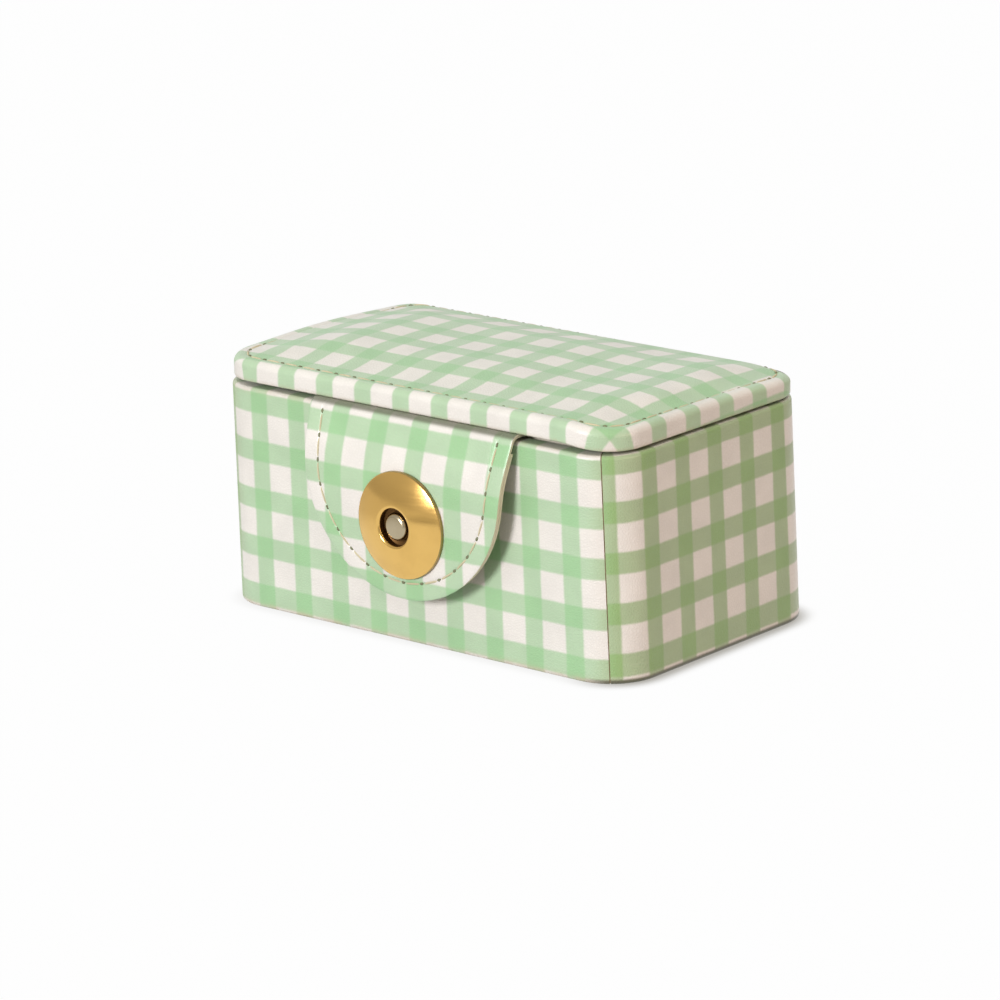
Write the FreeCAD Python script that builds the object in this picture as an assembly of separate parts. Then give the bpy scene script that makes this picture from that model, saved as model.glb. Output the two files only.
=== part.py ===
import FreeCAD, Part
import math
import os

os.makedirs("parts", exist_ok=True)

# Small travel sewing box, in millimetres.
# The origin is the centre of the underside, +Z is up, the front with the flap faces -Y.

# Body outline
box_width = 85.0
box_depth = 51.0
body_height = 37.5
corner_radius = 8.3

# Sheet and board stock
pu_thickness = 0.7
board_thickness = 2.0
card_thickness = 1.0
fabric_thickness = 0.4
glue_gap = 0.05
least_radius = 0.2
cut_overrun = 1.0

# Body cover: turned in over the rim and under the bottom, ends butted on one corner
rim_turn_in = 5.0
rim_edge_radius = 0.5
bottom_turn_under = 6.0
bottom_edge_radius = 0.5
seam_width = 0.15
seam_turn = 35.0

# Lining of the body
wall_lining_thickness = 0.8
floor_clearance = 0.2

# Lid
lid_board_thickness = 2.2
lid_padding_thickness = 0.6
lid_crown = 1.2
lid_side_inset = 0.4
lid_front_inset = 0.2
lid_rear_inset = 0.1
lid_edge_radius = 1.1
lid_lower_edge_radius = 0.3
lid_turn_under = 4.6
lid_rear_gap = 0.15
liner_card_thickness = 1.4
liner_edge_radius = 0.3
mouth_clearance = 0.6

# Hinge strip across the back
hinge_strip_width = 62.0
hinge_body_lap = 9.0
hinge_lid_lap = 1.6
hinge_corner_radius = 3.0

# Flap
flap_top_width = 43.4
flap_side_taper = 5.4
flap_drop = 28.05
flap_offset = 1.7
flap_tail_length = 14.0
flap_rim_clearance = 0.15
flap_bend_radius = 1.4
flap_flat_rise = 4.8
flap_ease_radius = 20.0
flap_back_thickness = 0.4
flap_stiffener_thickness = 0.3
flap_stiffener_margin = 4.2
flap_layer_start = 1.2
fold_clearance = 0.25

# Snap: the flap's half
snap_drop = 16.3
cap_diameter = 18.0
cap_height = 2.0
cap_rim_height = 0.35
cap_sheet = 0.4
cap_hole_diameter = 6.5
cap_lip_radius = 0.45
nub_diameter = 4.8
nub_height = 1.35
nub_edge_radius = 0.9
shank_diameter = 2.4
clench_diameter = 4.0
clench_thickness = 0.4
magnet_cup_diameter = 14.0
magnet_cup_height = 1.8
magnet_cup_sheet = 0.4
magnet_thickness = 1.1
magnet_clearance = 0.1

# Snap: the body's half
keeper_diameter = 14.0
keeper_thickness = 0.7
keeper_edge_radius = 0.4
keeper_gap = 0.3
stem_diameter = 3.0
stem_head_diameter = 4.6
stem_head_thickness = 0.3
washer_diameter = 9.0
washer_thickness = 0.5

# Heights and planes that the pieces share
front = -box_depth / 2
back = box_depth / 2
cover_bottom = 0.0
board_bottom = cover_bottom + pu_thickness
floor_top = board_bottom + board_thickness
rim = body_height
board_top = rim - pu_thickness
wall_inset = pu_thickness + glue_gap
lining_inset = wall_inset + board_thickness + glue_gap
turn_in_inset = lining_inset + pu_thickness
cavity_inset = lining_inset + wall_lining_thickness

# The lid's own planes, before it is tipped up to rest on the flap's tail
lid_front = front + lid_front_inset
lid_back = back - lid_rear_inset
lid_depth = lid_back - lid_front
lid_middle = (lid_front + lid_back) / 2
lid_width = box_width - 2 * lid_side_inset
lid_radius = corner_radius - lid_side_inset
lid_bottom = rim + lid_rear_gap
lid_board_top = lid_bottom + lid_board_thickness
lid_core_top = lid_board_top + lid_padding_thickness
lid_top = lid_core_top + pu_thickness
lid_front_gap = pu_thickness + flap_rim_clearance
hinge_y = back + pu_thickness / 2
hinge_z = rim + lid_rear_gap / 2
lid_tip = math.degrees(math.asin((lid_front_gap - lid_rear_gap) / lid_depth))

# The flap's planes: its inner layers hang clear of the body by the height of the snap
snap_z = rim - snap_drop
flap_core = flap_stiffener_thickness + flap_back_thickness
flap_inner_y = front - keeper_thickness - keeper_gap - magnet_cup_height
flap_face_y = flap_inner_y - flap_core - pu_thickness / 2
flap_outer_y = flap_face_y - pu_thickness / 2
flap_low = rim - flap_drop
flap_flat_top = snap_z + flap_flat_rise


def vec(x, y, z):
    return FreeCAD.Vector(x, y, z)


def line(start, end):
    return Part.LineSegment(start, end).toShape()


def arc(start, middle, end):
    return Part.Arc(start, middle, end).toShape()


def corner(radius):
    # an inset corner stays a little round
    return max(radius, least_radius)


def outline(width, depth, radius, middle, z):
    # rounded rectangle, centred across the box and about Y = middle
    right = width / 2
    far = depth / 2
    edges = []
    for turn in range(4):
        along = (right, far) if turn % 2 == 0 else (far, right)
        place = FreeCAD.Placement(vec(0, middle, z), FreeCAD.Rotation(vec(0, 0, 1), 90 * turn))
        half = radius * math.sqrt(0.5)
        start = vec(along[0], along[1] - radius, 0)
        middle_point = vec(along[0] - radius + half, along[1] - radius + half, 0)
        end = vec(along[0] - radius, along[1], 0)
        next_start = vec(radius - along[0], along[1], 0)
        edges.append(arc(place.multVec(start), place.multVec(middle_point), place.multVec(end)))
        edges.append(line(place.multVec(end), place.multVec(next_start)))
    return Part.Wire(edges)


def slab(width, depth, radius, middle, low, high):
    return Part.Face(outline(width, depth, radius, middle, low)).extrude(vec(0, 0, high - low))


def body_slab(inset, low, high):
    radius = corner(corner_radius - inset)
    return slab(box_width - 2 * inset, box_depth - 2 * inset, radius, 0, low, high)


def lid_slab(inset, low, high):
    radius = corner(lid_radius - inset)
    return slab(lid_width - 2 * inset, lid_depth - 2 * inset, radius, lid_middle, low, high)


def round_rim(solid, z, radius):
    # rounds the edges of a slab that lie in the plane at height z
    near = radius / 100
    edges = [e for e in solid.Edges if abs(e.BoundBox.ZMin - z) < near and abs(e.BoundBox.ZMax - z) < near]
    return solid.makeFillet(radius, edges)


def crowned_lid(inset, low, high, edge_radius):
    # a block in the lid's outline, its top edge rounded at the height high and its middle risen by the crown
    half_x = lid_width / 2 + cut_overrun
    half_y = lid_depth / 2 + cut_overrun
    crown = Part.BezierSurface()
    crown.increase(2, 2)
    for i in range(3):
        for j in range(3):
            rise = 4 * lid_crown if i == 1 and j == 1 else 0
            crown.setPole(i + 1, j + 1, vec((i - 1) * half_x, lid_middle + (j - 1) * half_y, high + rise))
    under_crown = crown.toShape().extrude(vec(0, 0, low - high - lid_crown - cut_overrun))
    block = lid_slab(inset, low, high + lid_crown + cut_overrun).common(under_crown)
    top_edges = [e for e in block.Edges if e.BoundBox.ZMin > (low + high) / 2]
    return block.makeFillet(edge_radius, top_edges)


def bar(x0, x1, y0, y1, z0, z1):
    return Part.makeBox(x1 - x0, y1 - y0, z1 - z0, vec(x0, y0, z0))


def tip_up(shape):
    # the lid turns about its hinge until its front rests on the flap's tail
    tipped = shape.copy()
    tipped.rotate(vec(0, hinge_y, hinge_z), vec(-1, 0, 0), lid_tip)
    return tipped


def tipped_point(y, z):
    turn = math.radians(lid_tip)
    out = y - hinge_y
    up = z - hinge_z
    tipped_y = hinge_y + out * math.cos(turn) + up * math.sin(turn)
    tipped_z = hinge_z - out * math.sin(turn) + up * math.cos(turn)
    return tipped_y, tipped_z


def snap_turn(points_and_arcs, base_y):
    # revolves a closed profile of (radius, height) points about the snap's axis;
    # heights grow outwards from base_y, and three points in one entry make an arc
    edges = []
    for entry in points_and_arcs:
        places = [vec(flap_offset + r, base_y - h, snap_z) for r, h in entry]
        edges.append(arc(*places) if len(places) == 3 else line(*places))
    face = Part.Face(Part.Wire(edges))
    return face.revolve(vec(flap_offset, base_y, snap_z), vec(0, 1, 0), 360)


def snap_polygon(points, base_y):
    pairs = [(points[i], points[(i + 1) % len(points)]) for i in range(len(points))]
    return snap_turn(pairs, base_y)


def snap_hole(radius, y0, y1):
    return Part.makeCylinder(radius, y1 - y0, vec(flap_offset, y0, snap_z), vec(0, 1, 0))


# Board shell
stem_hole = snap_hole(stem_diameter / 2 + glue_gap, front - cut_overrun, front + cavity_inset)
washer_depth = washer_thickness + stem_head_thickness + glue_gap
board_inner_y = front + wall_inset + board_thickness
washer_seat_y = board_inner_y - washer_depth
washer_recess = snap_hole(washer_diameter / 2 + glue_gap, washer_seat_y, board_inner_y + glue_gap)

wall_board = body_slab(wall_inset, board_bottom, board_top)
wall_board = round_rim(wall_board, board_bottom, corner(bottom_edge_radius - pu_thickness))
wall_board = wall_board.cut(body_slab(wall_inset + board_thickness, board_bottom, board_top))
wall_board = wall_board.cut(stem_hole).cut(washer_recess)

bottom_board = body_slab(lining_inset, board_bottom, floor_top)

# Body cover: a skin outside the walls, over the rim and under the bottom
cover_skin = body_slab(0, cover_bottom, rim)
cover_skin = round_rim(cover_skin, cover_bottom, bottom_edge_radius)
cover_skin = round_rim(cover_skin, rim, rim_edge_radius)
wall_space = body_slab(pu_thickness, board_bottom, board_top)
wall_space = round_rim(wall_space, board_bottom, corner(bottom_edge_radius - pu_thickness))
turn_in = body_slab(lining_inset, rim - rim_turn_in, board_top)
mouth = body_slab(turn_in_inset, cover_bottom, rim + cut_overrun)
turn_in = turn_in.cut(mouth)
body_cover = cover_skin.cut(wall_space.cut(turn_in))
body_cover = body_cover.cut(body_slab(turn_in_inset, board_top, rim + cut_overrun))
body_cover = body_cover.cut(body_slab(bottom_turn_under, 0, board_bottom))
seam_length = corner_radius + cut_overrun
seam = bar(0, seam_length, -seam_width / 2, seam_width / 2, 0, rim + cut_overrun)
seam.rotate(vec(0, 0, 0), vec(0, 0, 1), -seam_turn)
seam.translate(vec(box_width / 2 - corner_radius, front + corner_radius, 0))
body_cover = body_cover.cut(seam).cut(stem_hole)

# Underside: a panel of the same sheet, let in flush inside the turned-under margin
bottom_cover = body_slab(bottom_turn_under + glue_gap, cover_bottom, board_bottom)

# Lining of the walls and the floor
wall_lining = body_slab(lining_inset, floor_top, rim - rim_turn_in - glue_gap)
wall_lining = wall_lining.cut(body_slab(cavity_inset, floor_top, rim))

floor_inset = cavity_inset + floor_clearance
floor_high = floor_top + card_thickness + fabric_thickness
floor_card = body_slab(floor_inset + fabric_thickness, floor_top, floor_top + card_thickness)
floor_lining = body_slab(floor_inset, floor_top, floor_high)
floor_lining = round_rim(floor_lining, floor_high, fabric_thickness)
floor_lining = floor_lining.cut(floor_card)

# Hinge strip: lies flat on the back of the body and of the lid
hinge_half = hinge_strip_width / 2
hinge_low = rim - hinge_body_lap
hinge_high = lid_bottom + hinge_lid_lap
hinge_strip = bar(-hinge_half, hinge_half, back, back + pu_thickness, hinge_low, hinge_high)
low_corners = [e for e in hinge_strip.Edges if e.BoundBox.ZMax < rim and e.BoundBox.XLength < pu_thickness / 2]
hinge_strip = hinge_strip.makeFillet(hinge_corner_radius, low_corners)

# Lid: padded board in a cover that is turned under, with a lining panel that drops into the mouth
lid_core_bottom = lid_bottom + pu_thickness
lid_core_radius = corner(lid_edge_radius - pu_thickness)
padding_round_share = 0.6
padding_radius = min(lid_core_radius, padding_round_share * lid_padding_thickness)

lid_cover = crowned_lid(0, lid_bottom, lid_top, lid_edge_radius)
lid_cover = round_rim(lid_cover, lid_bottom, lid_lower_edge_radius)
lid_cover = lid_cover.cut(crowned_lid(pu_thickness, lid_core_bottom, lid_core_top, lid_core_radius))
lid_cover = lid_cover.cut(lid_slab(lid_turn_under, lid_bottom - cut_overrun, lid_core_bottom))

lid_board = lid_slab(wall_inset, lid_core_bottom, lid_board_top)
lid_board = lid_board.fuse(lid_slab(lid_turn_under + glue_gap, lid_bottom, lid_core_bottom)).removeSplitter()

lid_padding = crowned_lid(wall_inset, lid_board_top, lid_core_top - glue_gap, padding_radius)

liner_inset = turn_in_inset + mouth_clearance
liner_low = lid_bottom - liner_card_thickness - fabric_thickness
liner_card = body_slab(liner_inset + fabric_thickness, liner_low + fabric_thickness, lid_bottom)
liner_fabric = round_rim(body_slab(liner_inset, liner_low, lid_bottom), liner_low, liner_edge_radius)
liner_fabric = liner_fabric.cut(liner_card)
tail_half = flap_top_width / 2
tail_end = lid_front + flap_tail_length
tail_pocket = bar(flap_offset - tail_half - glue_gap, flap_offset + tail_half + glue_gap, front,
                  tail_end + glue_gap, lid_bottom - pu_thickness - glue_gap, lid_bottom)
liner_card = liner_card.cut(tail_pocket)
liner_fabric = liner_fabric.cut(tail_pocket)

# Flap path, in the YZ plane through the middle of its face sheet: a bend round the lid's front edge, a straight
# run that leans outwards, then an easing bend into the upright part that carries the snap
bend_y, tail_z = tipped_point(lid_front, lid_bottom - pu_thickness / 2)
bend_z = tail_z - flap_bend_radius
ease_y = flap_face_y + flap_ease_radius
ease_z = flap_flat_top
reach = ease_y - bend_y
fall = bend_z - ease_z
lean = math.atan2(fall, reach) - math.acos((flap_ease_radius - flap_bend_radius) / math.hypot(reach, fall))
down_y = -math.sin(lean)
down_z = -math.cos(lean)
out_y = -math.cos(lean)
out_z = math.sin(lean)
root_end_y = bend_y + flap_bend_radius * out_y
root_end_z = bend_z + flap_bend_radius * out_z
fold_y = root_end_y + (pu_thickness / 2 + fold_clearance) * down_y
fold_z = root_end_z + (pu_thickness / 2 + fold_clearance) * down_z


def root_point(share, offset):
    # a point of the flap's first bend, from its start (0) to its end (1), in the lid's own untipped position
    turn = share * (math.pi / 2 - lean + math.radians(lid_tip))
    radius = flap_bend_radius + offset
    middle_z = lid_bottom - pu_thickness / 2 - flap_bend_radius
    return vec(0, lid_front - radius * math.sin(turn), middle_z + radius * math.cos(turn))


def flap_layer(inner, outer, start, knuckle):
    # a layer of the flap between two offsets from the face sheet's middle, from start below the fold to the tip
    def on_lean(offset):
        return vec(0, fold_y + start * down_y + offset * out_y, fold_z + start * down_z + offset * out_z)

    def on_ease(offset, angle):
        radius = flap_ease_radius + offset
        return vec(0, ease_y - radius * math.cos(angle), ease_z + radius * math.sin(angle))

    def on_tip(offset):
        return vec(0, flap_face_y - offset, flap_low - cut_overrun)

    edges = [
        line(on_lean(outer), on_ease(outer, lean)),
        arc(on_ease(outer, lean), on_ease(outer, lean / 2), on_ease(outer, 0)),
        line(on_ease(outer, 0), on_tip(outer)),
        line(on_tip(outer), on_tip(inner)),
        line(on_tip(inner), on_ease(inner, 0)),
        arc(on_ease(inner, 0), on_ease(inner, lean / 2), on_ease(inner, lean)),
        line(on_ease(inner, lean), on_lean(inner)),
    ]
    if knuckle:
        round_end = vec(0, fold_y - outer * down_y, fold_z - outer * down_z)
        edges.append(arc(on_lean(inner), round_end, on_lean(outer)))
    else:
        edges.append(line(on_lean(inner), on_lean(outer)))
    layer = Part.Face(Part.Wire(edges)).extrude(vec(flap_top_width + 2 * cut_overrun, 0, 0))
    layer.translate(vec(flap_offset - tail_half - cut_overrun, 0, 0))
    return layer


def flap_outline(margin):
    # the flap seen from the front: straight sides that taper into a round end, as a prism along Y
    taper = math.radians(flap_side_taper)
    half = tail_half - margin / math.cos(taper)
    low = flap_low + margin
    round_z = (half * math.cos(taper) - rim * math.sin(taper) + low) / (1 - math.sin(taper))
    radius = round_z - low
    high = rim + cut_overrun
    top = half + cut_overrun * math.tan(taper)
    side_x = radius * math.cos(taper)
    side_z = round_z - radius * math.sin(taper)
    y = flap_outer_y - cut_overrun
    right_top = vec(flap_offset + top, y, high)
    left_top = vec(flap_offset - top, y, high)
    right = vec(flap_offset + side_x, y, side_z)
    left = vec(flap_offset - side_x, y, side_z)
    lowest = vec(flap_offset, y, low)
    wire = Part.Wire([line(left_top, right_top), line(right_top, right), arc(right, lowest, left),
                      line(left, left_top)])
    return Part.Face(wire).extrude(vec(0, front - y, 0))


# Flap: tail and first bend on the lid, then the layered tongue
root_edges = [
    line(vec(0, tail_end, lid_bottom), vec(0, lid_front, lid_bottom)),
    arc(root_point(0, pu_thickness / 2), root_point(0.5, pu_thickness / 2), root_point(1, pu_thickness / 2)),
    line(root_point(1, pu_thickness / 2), root_point(1, -pu_thickness / 2)),
    arc(root_point(1, -pu_thickness / 2), root_point(0.5, -pu_thickness / 2), root_point(0, -pu_thickness / 2)),
    line(vec(0, lid_front, lid_bottom - pu_thickness), vec(0, tail_end, lid_bottom - pu_thickness)),
    line(vec(0, tail_end, lid_bottom - pu_thickness), vec(0, tail_end, lid_bottom)),
]
flap_root = Part.Face(Part.Wire(root_edges)).extrude(vec(flap_top_width, 0, 0))
flap_root.translate(vec(flap_offset - tail_half, 0, 0))

shank_hole = snap_hole(shank_diameter / 2 + glue_gap, flap_outer_y - cut_overrun, front)
face_inside = -pu_thickness / 2
stiffener_inside = face_inside - flap_stiffener_thickness
back_inside = stiffener_inside - flap_back_thickness
flap_prism = flap_outline(0)
stiffener_prism = flap_outline(flap_stiffener_margin)

flap_face = flap_layer(face_inside, pu_thickness / 2, 0, True).common(flap_prism).cut(shank_hole)
flap_core_layer = flap_layer(stiffener_inside, face_inside, flap_layer_start, False)
flap_stiffener = flap_core_layer.common(stiffener_prism).cut(shank_hole)
flap_back = flap_layer(back_inside, face_inside, flap_layer_start, False).common(flap_prism)
flap_back = flap_back.cut(flap_core_layer.common(stiffener_prism)).cut(shank_hole)
cup_seat = snap_hole(magnet_cup_diameter / 2 + glue_gap, flap_inner_y, front)
flap_back = flap_back.cut(cup_seat)

# Snap cap: thin domed ring, its inner edge rolled down into the hole
cap_radius = cap_diameter / 2
hole_radius = cap_hole_diameter / 2
lip_start = hole_radius + cap_lip_radius
dome_share = 0.55
dome_rise_share = 0.78
dome_r = lip_start + (cap_radius - lip_start) * dome_share
dome_h = cap_rim_height + (cap_height - cap_rim_height) * dome_rise_share
lip_half = cap_lip_radius * math.sqrt(0.5)
lip_low = cap_height - cap_lip_radius
inner_lip = hole_radius + cap_sheet
snap_cap = snap_turn([
    [(cap_radius, 0), (cap_radius, cap_rim_height)],
    [(cap_radius, cap_rim_height), (dome_r, dome_h), (lip_start, cap_height)],
    [(lip_start, cap_height), (lip_start - lip_half, lip_low + lip_half), (hole_radius, lip_low)],
    [(hole_radius, lip_low), (hole_radius, 0)],
    [(hole_radius, 0), (inner_lip, 0)],
    [(inner_lip, 0), (inner_lip, lip_low)],
    [(inner_lip, lip_low), (dome_r, dome_h - cap_sheet), (cap_radius - cap_sheet, 0)],
    [(cap_radius - cap_sheet, 0), (cap_radius, 0)],
], flap_outer_y)

# Rivet: nub in the cap's hole, shank through the flap and the cup, clenched end inside the magnet
nub_radius = nub_diameter / 2
shank_radius = shank_diameter / 2
clench_radius = clench_diameter / 2
flap_stack = pu_thickness + flap_core
clench_top = flap_stack + magnet_cup_sheet
clench_low = clench_top + clench_thickness
nub_half = nub_edge_radius * math.sqrt(0.5)
nub_side = nub_height - nub_edge_radius
nub_flat = nub_radius - nub_edge_radius
snap_rivet = snap_turn([
    [(0, nub_height), (nub_flat, nub_height)],
    [(nub_flat, nub_height), (nub_flat + nub_half, nub_side + nub_half), (nub_radius, nub_side)],
    [(nub_radius, nub_side), (nub_radius, 0)],
    [(nub_radius, 0), (shank_radius, 0)],
    [(shank_radius, 0), (shank_radius, -clench_top)],
    [(shank_radius, -clench_top), (clench_radius, -clench_top)],
    [(clench_radius, -clench_top), (clench_radius, -clench_low)],
    [(clench_radius, -clench_low), (0, -clench_low)],
    [(0, -clench_low), (0, nub_height)],
], flap_outer_y)

# Magnet in its cup, on the flap's inner side
cup_radius = magnet_cup_diameter / 2
magnet_cup = snap_polygon([
    (shank_radius + glue_gap, 0), (cup_radius, 0), (cup_radius, -magnet_cup_height),
    (cup_radius - magnet_cup_sheet, -magnet_cup_height), (cup_radius - magnet_cup_sheet, -magnet_cup_sheet),
    (shank_radius + glue_gap, -magnet_cup_sheet)], flap_inner_y)
magnet_outer = cup_radius - magnet_cup_sheet - magnet_clearance
magnet_inner = clench_radius + magnet_clearance
magnet_low = magnet_cup_sheet + magnet_thickness
flap_magnet = snap_polygon([
    (magnet_inner, -magnet_cup_sheet), (magnet_outer, -magnet_cup_sheet), (magnet_outer, -magnet_low),
    (magnet_inner, -magnet_low)], flap_inner_y)

# Keeper on the front of the body: disc, stem through the wall, head clenched over the washer
keeper_radius = keeper_diameter / 2
stem_radius = stem_diameter / 2
head_radius = stem_head_diameter / 2
keeper_half = keeper_edge_radius * math.sqrt(0.5)
keeper_side = keeper_thickness - keeper_edge_radius
keeper_flat = keeper_radius - keeper_edge_radius
head_top = front - washer_seat_y - washer_thickness
head_low = head_top - stem_head_thickness
keeper_plate = snap_turn([
    [(0, keeper_thickness), (keeper_flat, keeper_thickness)],
    [(keeper_flat, keeper_thickness), (keeper_flat + keeper_half, keeper_side + keeper_half),
     (keeper_radius, keeper_side)],
    [(keeper_radius, keeper_side), (keeper_radius, 0)],
    [(keeper_radius, 0), (stem_radius, 0)],
    [(stem_radius, 0), (stem_radius, head_top)],
    [(stem_radius, head_top), (head_radius, head_top)],
    [(head_radius, head_top), (head_radius, head_low)],
    [(head_radius, head_low), (0, head_low)],
    [(0, head_low), (0, keeper_thickness)],
], front)
keeper_washer = snap_polygon([
    (stem_radius + glue_gap, 0), (washer_diameter / 2, 0), (washer_diameter / 2, -washer_thickness),
    (stem_radius + glue_gap, -washer_thickness)], washer_seat_y)

nodes = {
    "wall_board": wall_board,
    "bottom_board": bottom_board,
    "body_cover": body_cover,
    "bottom_cover": bottom_cover,
    "wall_lining": wall_lining,
    "floor_card": floor_card,
    "floor_lining": floor_lining,
    "hinge_strip": hinge_strip,
    "keeper_plate": keeper_plate,
    "keeper_washer": keeper_washer,
    "lid_board": tip_up(lid_board),
    "lid_padding": tip_up(lid_padding),
    "lid_cover": tip_up(lid_cover),
    "liner_card": tip_up(liner_card),
    "liner_fabric": tip_up(liner_fabric),
    "flap_root": tip_up(flap_root),
    "flap_face": flap_face,
    "flap_stiffener": flap_stiffener,
    "flap_back": flap_back,
    "snap_cap": snap_cap,
    "snap_rivet": snap_rivet,
    "magnet_cup": magnet_cup,
    "flap_magnet": flap_magnet,
}

for name, shape in nodes.items():
    shape.exportStep("parts/" + name + ".step")
    print(name, len(shape.Solids), "solid", "valid" if shape.isValid() else "NOT VALID",
          "volume %.1f" % shape.Volume)

print("lid hinge at y %.3f z %.3f, tipped %.3f degrees" % (hinge_y, hinge_z, lid_tip))
print("flap fold at y %.3f z %.3f, lean %.2f degrees" % (fold_y, fold_z, math.degrees(lean)))
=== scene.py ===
import bpy
import bmesh
import math
from mathutils import Matrix, Vector


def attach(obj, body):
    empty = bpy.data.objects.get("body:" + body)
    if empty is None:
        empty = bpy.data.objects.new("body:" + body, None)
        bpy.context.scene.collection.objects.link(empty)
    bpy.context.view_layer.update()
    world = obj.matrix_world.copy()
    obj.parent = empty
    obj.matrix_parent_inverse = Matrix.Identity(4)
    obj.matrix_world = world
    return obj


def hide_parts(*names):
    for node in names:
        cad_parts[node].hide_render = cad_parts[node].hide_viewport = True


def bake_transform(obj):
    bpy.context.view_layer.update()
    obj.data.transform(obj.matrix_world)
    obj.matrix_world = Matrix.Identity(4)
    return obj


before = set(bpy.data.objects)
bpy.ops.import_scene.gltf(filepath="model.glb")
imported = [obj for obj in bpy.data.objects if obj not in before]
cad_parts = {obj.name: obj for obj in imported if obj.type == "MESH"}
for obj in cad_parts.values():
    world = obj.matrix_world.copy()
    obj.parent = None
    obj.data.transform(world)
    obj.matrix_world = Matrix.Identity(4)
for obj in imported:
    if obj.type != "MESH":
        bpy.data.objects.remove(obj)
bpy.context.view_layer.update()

mm = 0.001
hair = 0.01  # how near counts as touching, in millimetres
slack = 0.05
print("sewing box: frame loaded with", len(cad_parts), "CAD nodes")


# small tools for working in edit mode

def freshStart():
    if bpy.context.object and bpy.context.object.mode != "OBJECT":
        bpy.ops.object.mode_set(mode="OBJECT")
    bpy.ops.object.select_all(action="DESELECT")


def nameIt(name):
    obj = bpy.context.object
    obj.name = name
    obj.data.name = name
    return obj


def setInPlace():  # puts the object's place, turn and scale into its mesh
    bpy.ops.object.transform_apply(location=True, rotation=True, scale=True)


def blockAt(name, low, high):  # a cube between two corners in millimetres, left in edit mode
    freshStart()
    bpy.ops.mesh.primitive_cube_add(size=1, location=[(a + b) / 2 * mm for a, b in zip(low, high)])
    obj = nameIt(name)
    obj.scale = [(b - a) * mm for a, b in zip(low, high)]
    setInPlace()
    bpy.ops.object.mode_set(mode="EDIT")
    return obj


def pick(obj, kind, test):  # kind is VERT, EDGE or FACE
    bpy.ops.mesh.select_mode(type=kind)
    bpy.ops.mesh.select_all(action="DESELECT")
    bm = bmesh.from_edit_mesh(obj.data)
    bm.normal_update()
    parts = {"VERT": bm.verts, "EDGE": bm.edges, "FACE": bm.faces}[kind]
    chosen = [p for p in parts if test(p)]
    for p in chosen:
        p.select_set(True)
    bm.select_flush_mode()
    bmesh.update_edit_mesh(obj.data)
    return len(chosen)


def anyFace(face):
    return True


def facesUp(face):
    return face.normal.z > 0.9


def isWall(face):
    return abs(face.normal.z) < 0.1


def isUnderside(face):  # the one many-sided face below
    return face.normal.z < -0.99 and len(face.verts) > 20


def midOf(edge):
    return (edge.verts[0].co + edge.verts[1].co) / 2 / mm


def spanOf(edge):
    return (edge.verts[1].co - edge.verts[0].co) / mm


def isUpright(edge):
    return abs(spanOf(edge).z) > 1


def roundOff(radius, segments):  # bevels the picked edges
    bpy.ops.mesh.bevel(offset=radius * mm, segments=segments, affect="EDGES", clamp_overlap=False)


def insetBy(*steps):
    for step in steps:
        bpy.ops.mesh.inset(thickness=step * mm, use_even_offset=True)


def drawOut(x, y, z):  # extrudes what is picked
    bpy.ops.mesh.extrude_region_move(TRANSFORM_OT_translate={"value": (x * mm, y * mm, z * mm)})


def faceOutwards():
    bpy.ops.mesh.select_all(action="SELECT")
    bpy.ops.mesh.normals_make_consistent(inside=False)


def eachVert(obj, move):  # move gets a vertex place in millimetres and its normal, and gives the new place
    bm = bmesh.from_edit_mesh(obj.data)
    bm.normal_update()
    for v in bm.verts:
        v.co = Vector(move(v.co / mm, v.normal.copy())) * mm
    bmesh.update_edit_mesh(obj.data)


def evenSteps(start, end, count):
    return [start + (end - start) * i / count for i in range(count + 1)]


def cutRows(obj, test, axis, places):  # bisects the tested faces at each place along an axis
    for place in places:
        if pick(obj, "FACE", test):
            co = [0, 0, 0]
            no = [0, 0, 0]
            co[axis] = place * mm
            no[axis] = 1
            bpy.ops.mesh.bisect(plane_co=co, plane_no=no)


def cutAbove(height):
    bpy.ops.mesh.select_all(action="SELECT")
    bpy.ops.mesh.bisect(plane_co=(0, 0, height * mm), plane_no=(0, 0, 1), clear_outer=True)


def mapPattern(obj, place):  # place gets a corner's point and its face's middle, and gives u and v in periods
    while obj.data.uv_layers:
        obj.data.uv_layers.remove(obj.data.uv_layers[0])
    layer = obj.data.uv_layers.new(name="pattern")
    for face in obj.data.polygons:
        middle = face.center / mm
        for i in face.loop_indices:
            layer.data[i].uv = place(obj.data.vertices[obj.data.loops[i].vertex_index].co / mm, middle)


def backToObject(obj):
    bpy.ops.object.mode_set(mode="OBJECT")
    bpy.ops.object.select_all(action="DESELECT")
    obj.select_set(True)
    bpy.context.view_layer.objects.active = obj


def applyAll(obj):
    bpy.context.view_layer.objects.active = obj
    for modifier in list(obj.modifiers):
        bpy.ops.object.modifier_apply(modifier=modifier.name)


def thicken(obj, sheet):  # gives an open skin its sheet thickness, inwards
    solidify = obj.modifiers.new("sheet", "SOLIDIFY")
    solidify.thickness = sheet * mm
    solidify.offset = -1
    solidify.material_offset = 1
    solidify.material_offset_rim = 2


def softenEdges(obj, width):
    bevel = obj.modifiers.new("softEdge", "BEVEL")
    bevel.width = width * mm
    bevel.segments = 2
    bevel.limit_method = "ANGLE"
    bevel.angle_limit = math.radians(60)
    bevel.use_clamp_overlap = True


def smoothSkin(obj, angle=38, weighted=True):
    backToObject(obj)
    applyAll(obj)
    bpy.ops.object.shade_smooth_by_angle(angle=math.radians(angle))
    if weighted:
        obj.modifiers.new("flatFaces", "WEIGHTED_NORMAL").keep_sharp = True
        applyAll(obj)


def ease(value, start, end):  # soft step from 0 at the start to 1 at the end
    t = min(1.0, max(0.0, (value - start) / (end - start)))
    return t * t * (3 - 2 * t)


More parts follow.
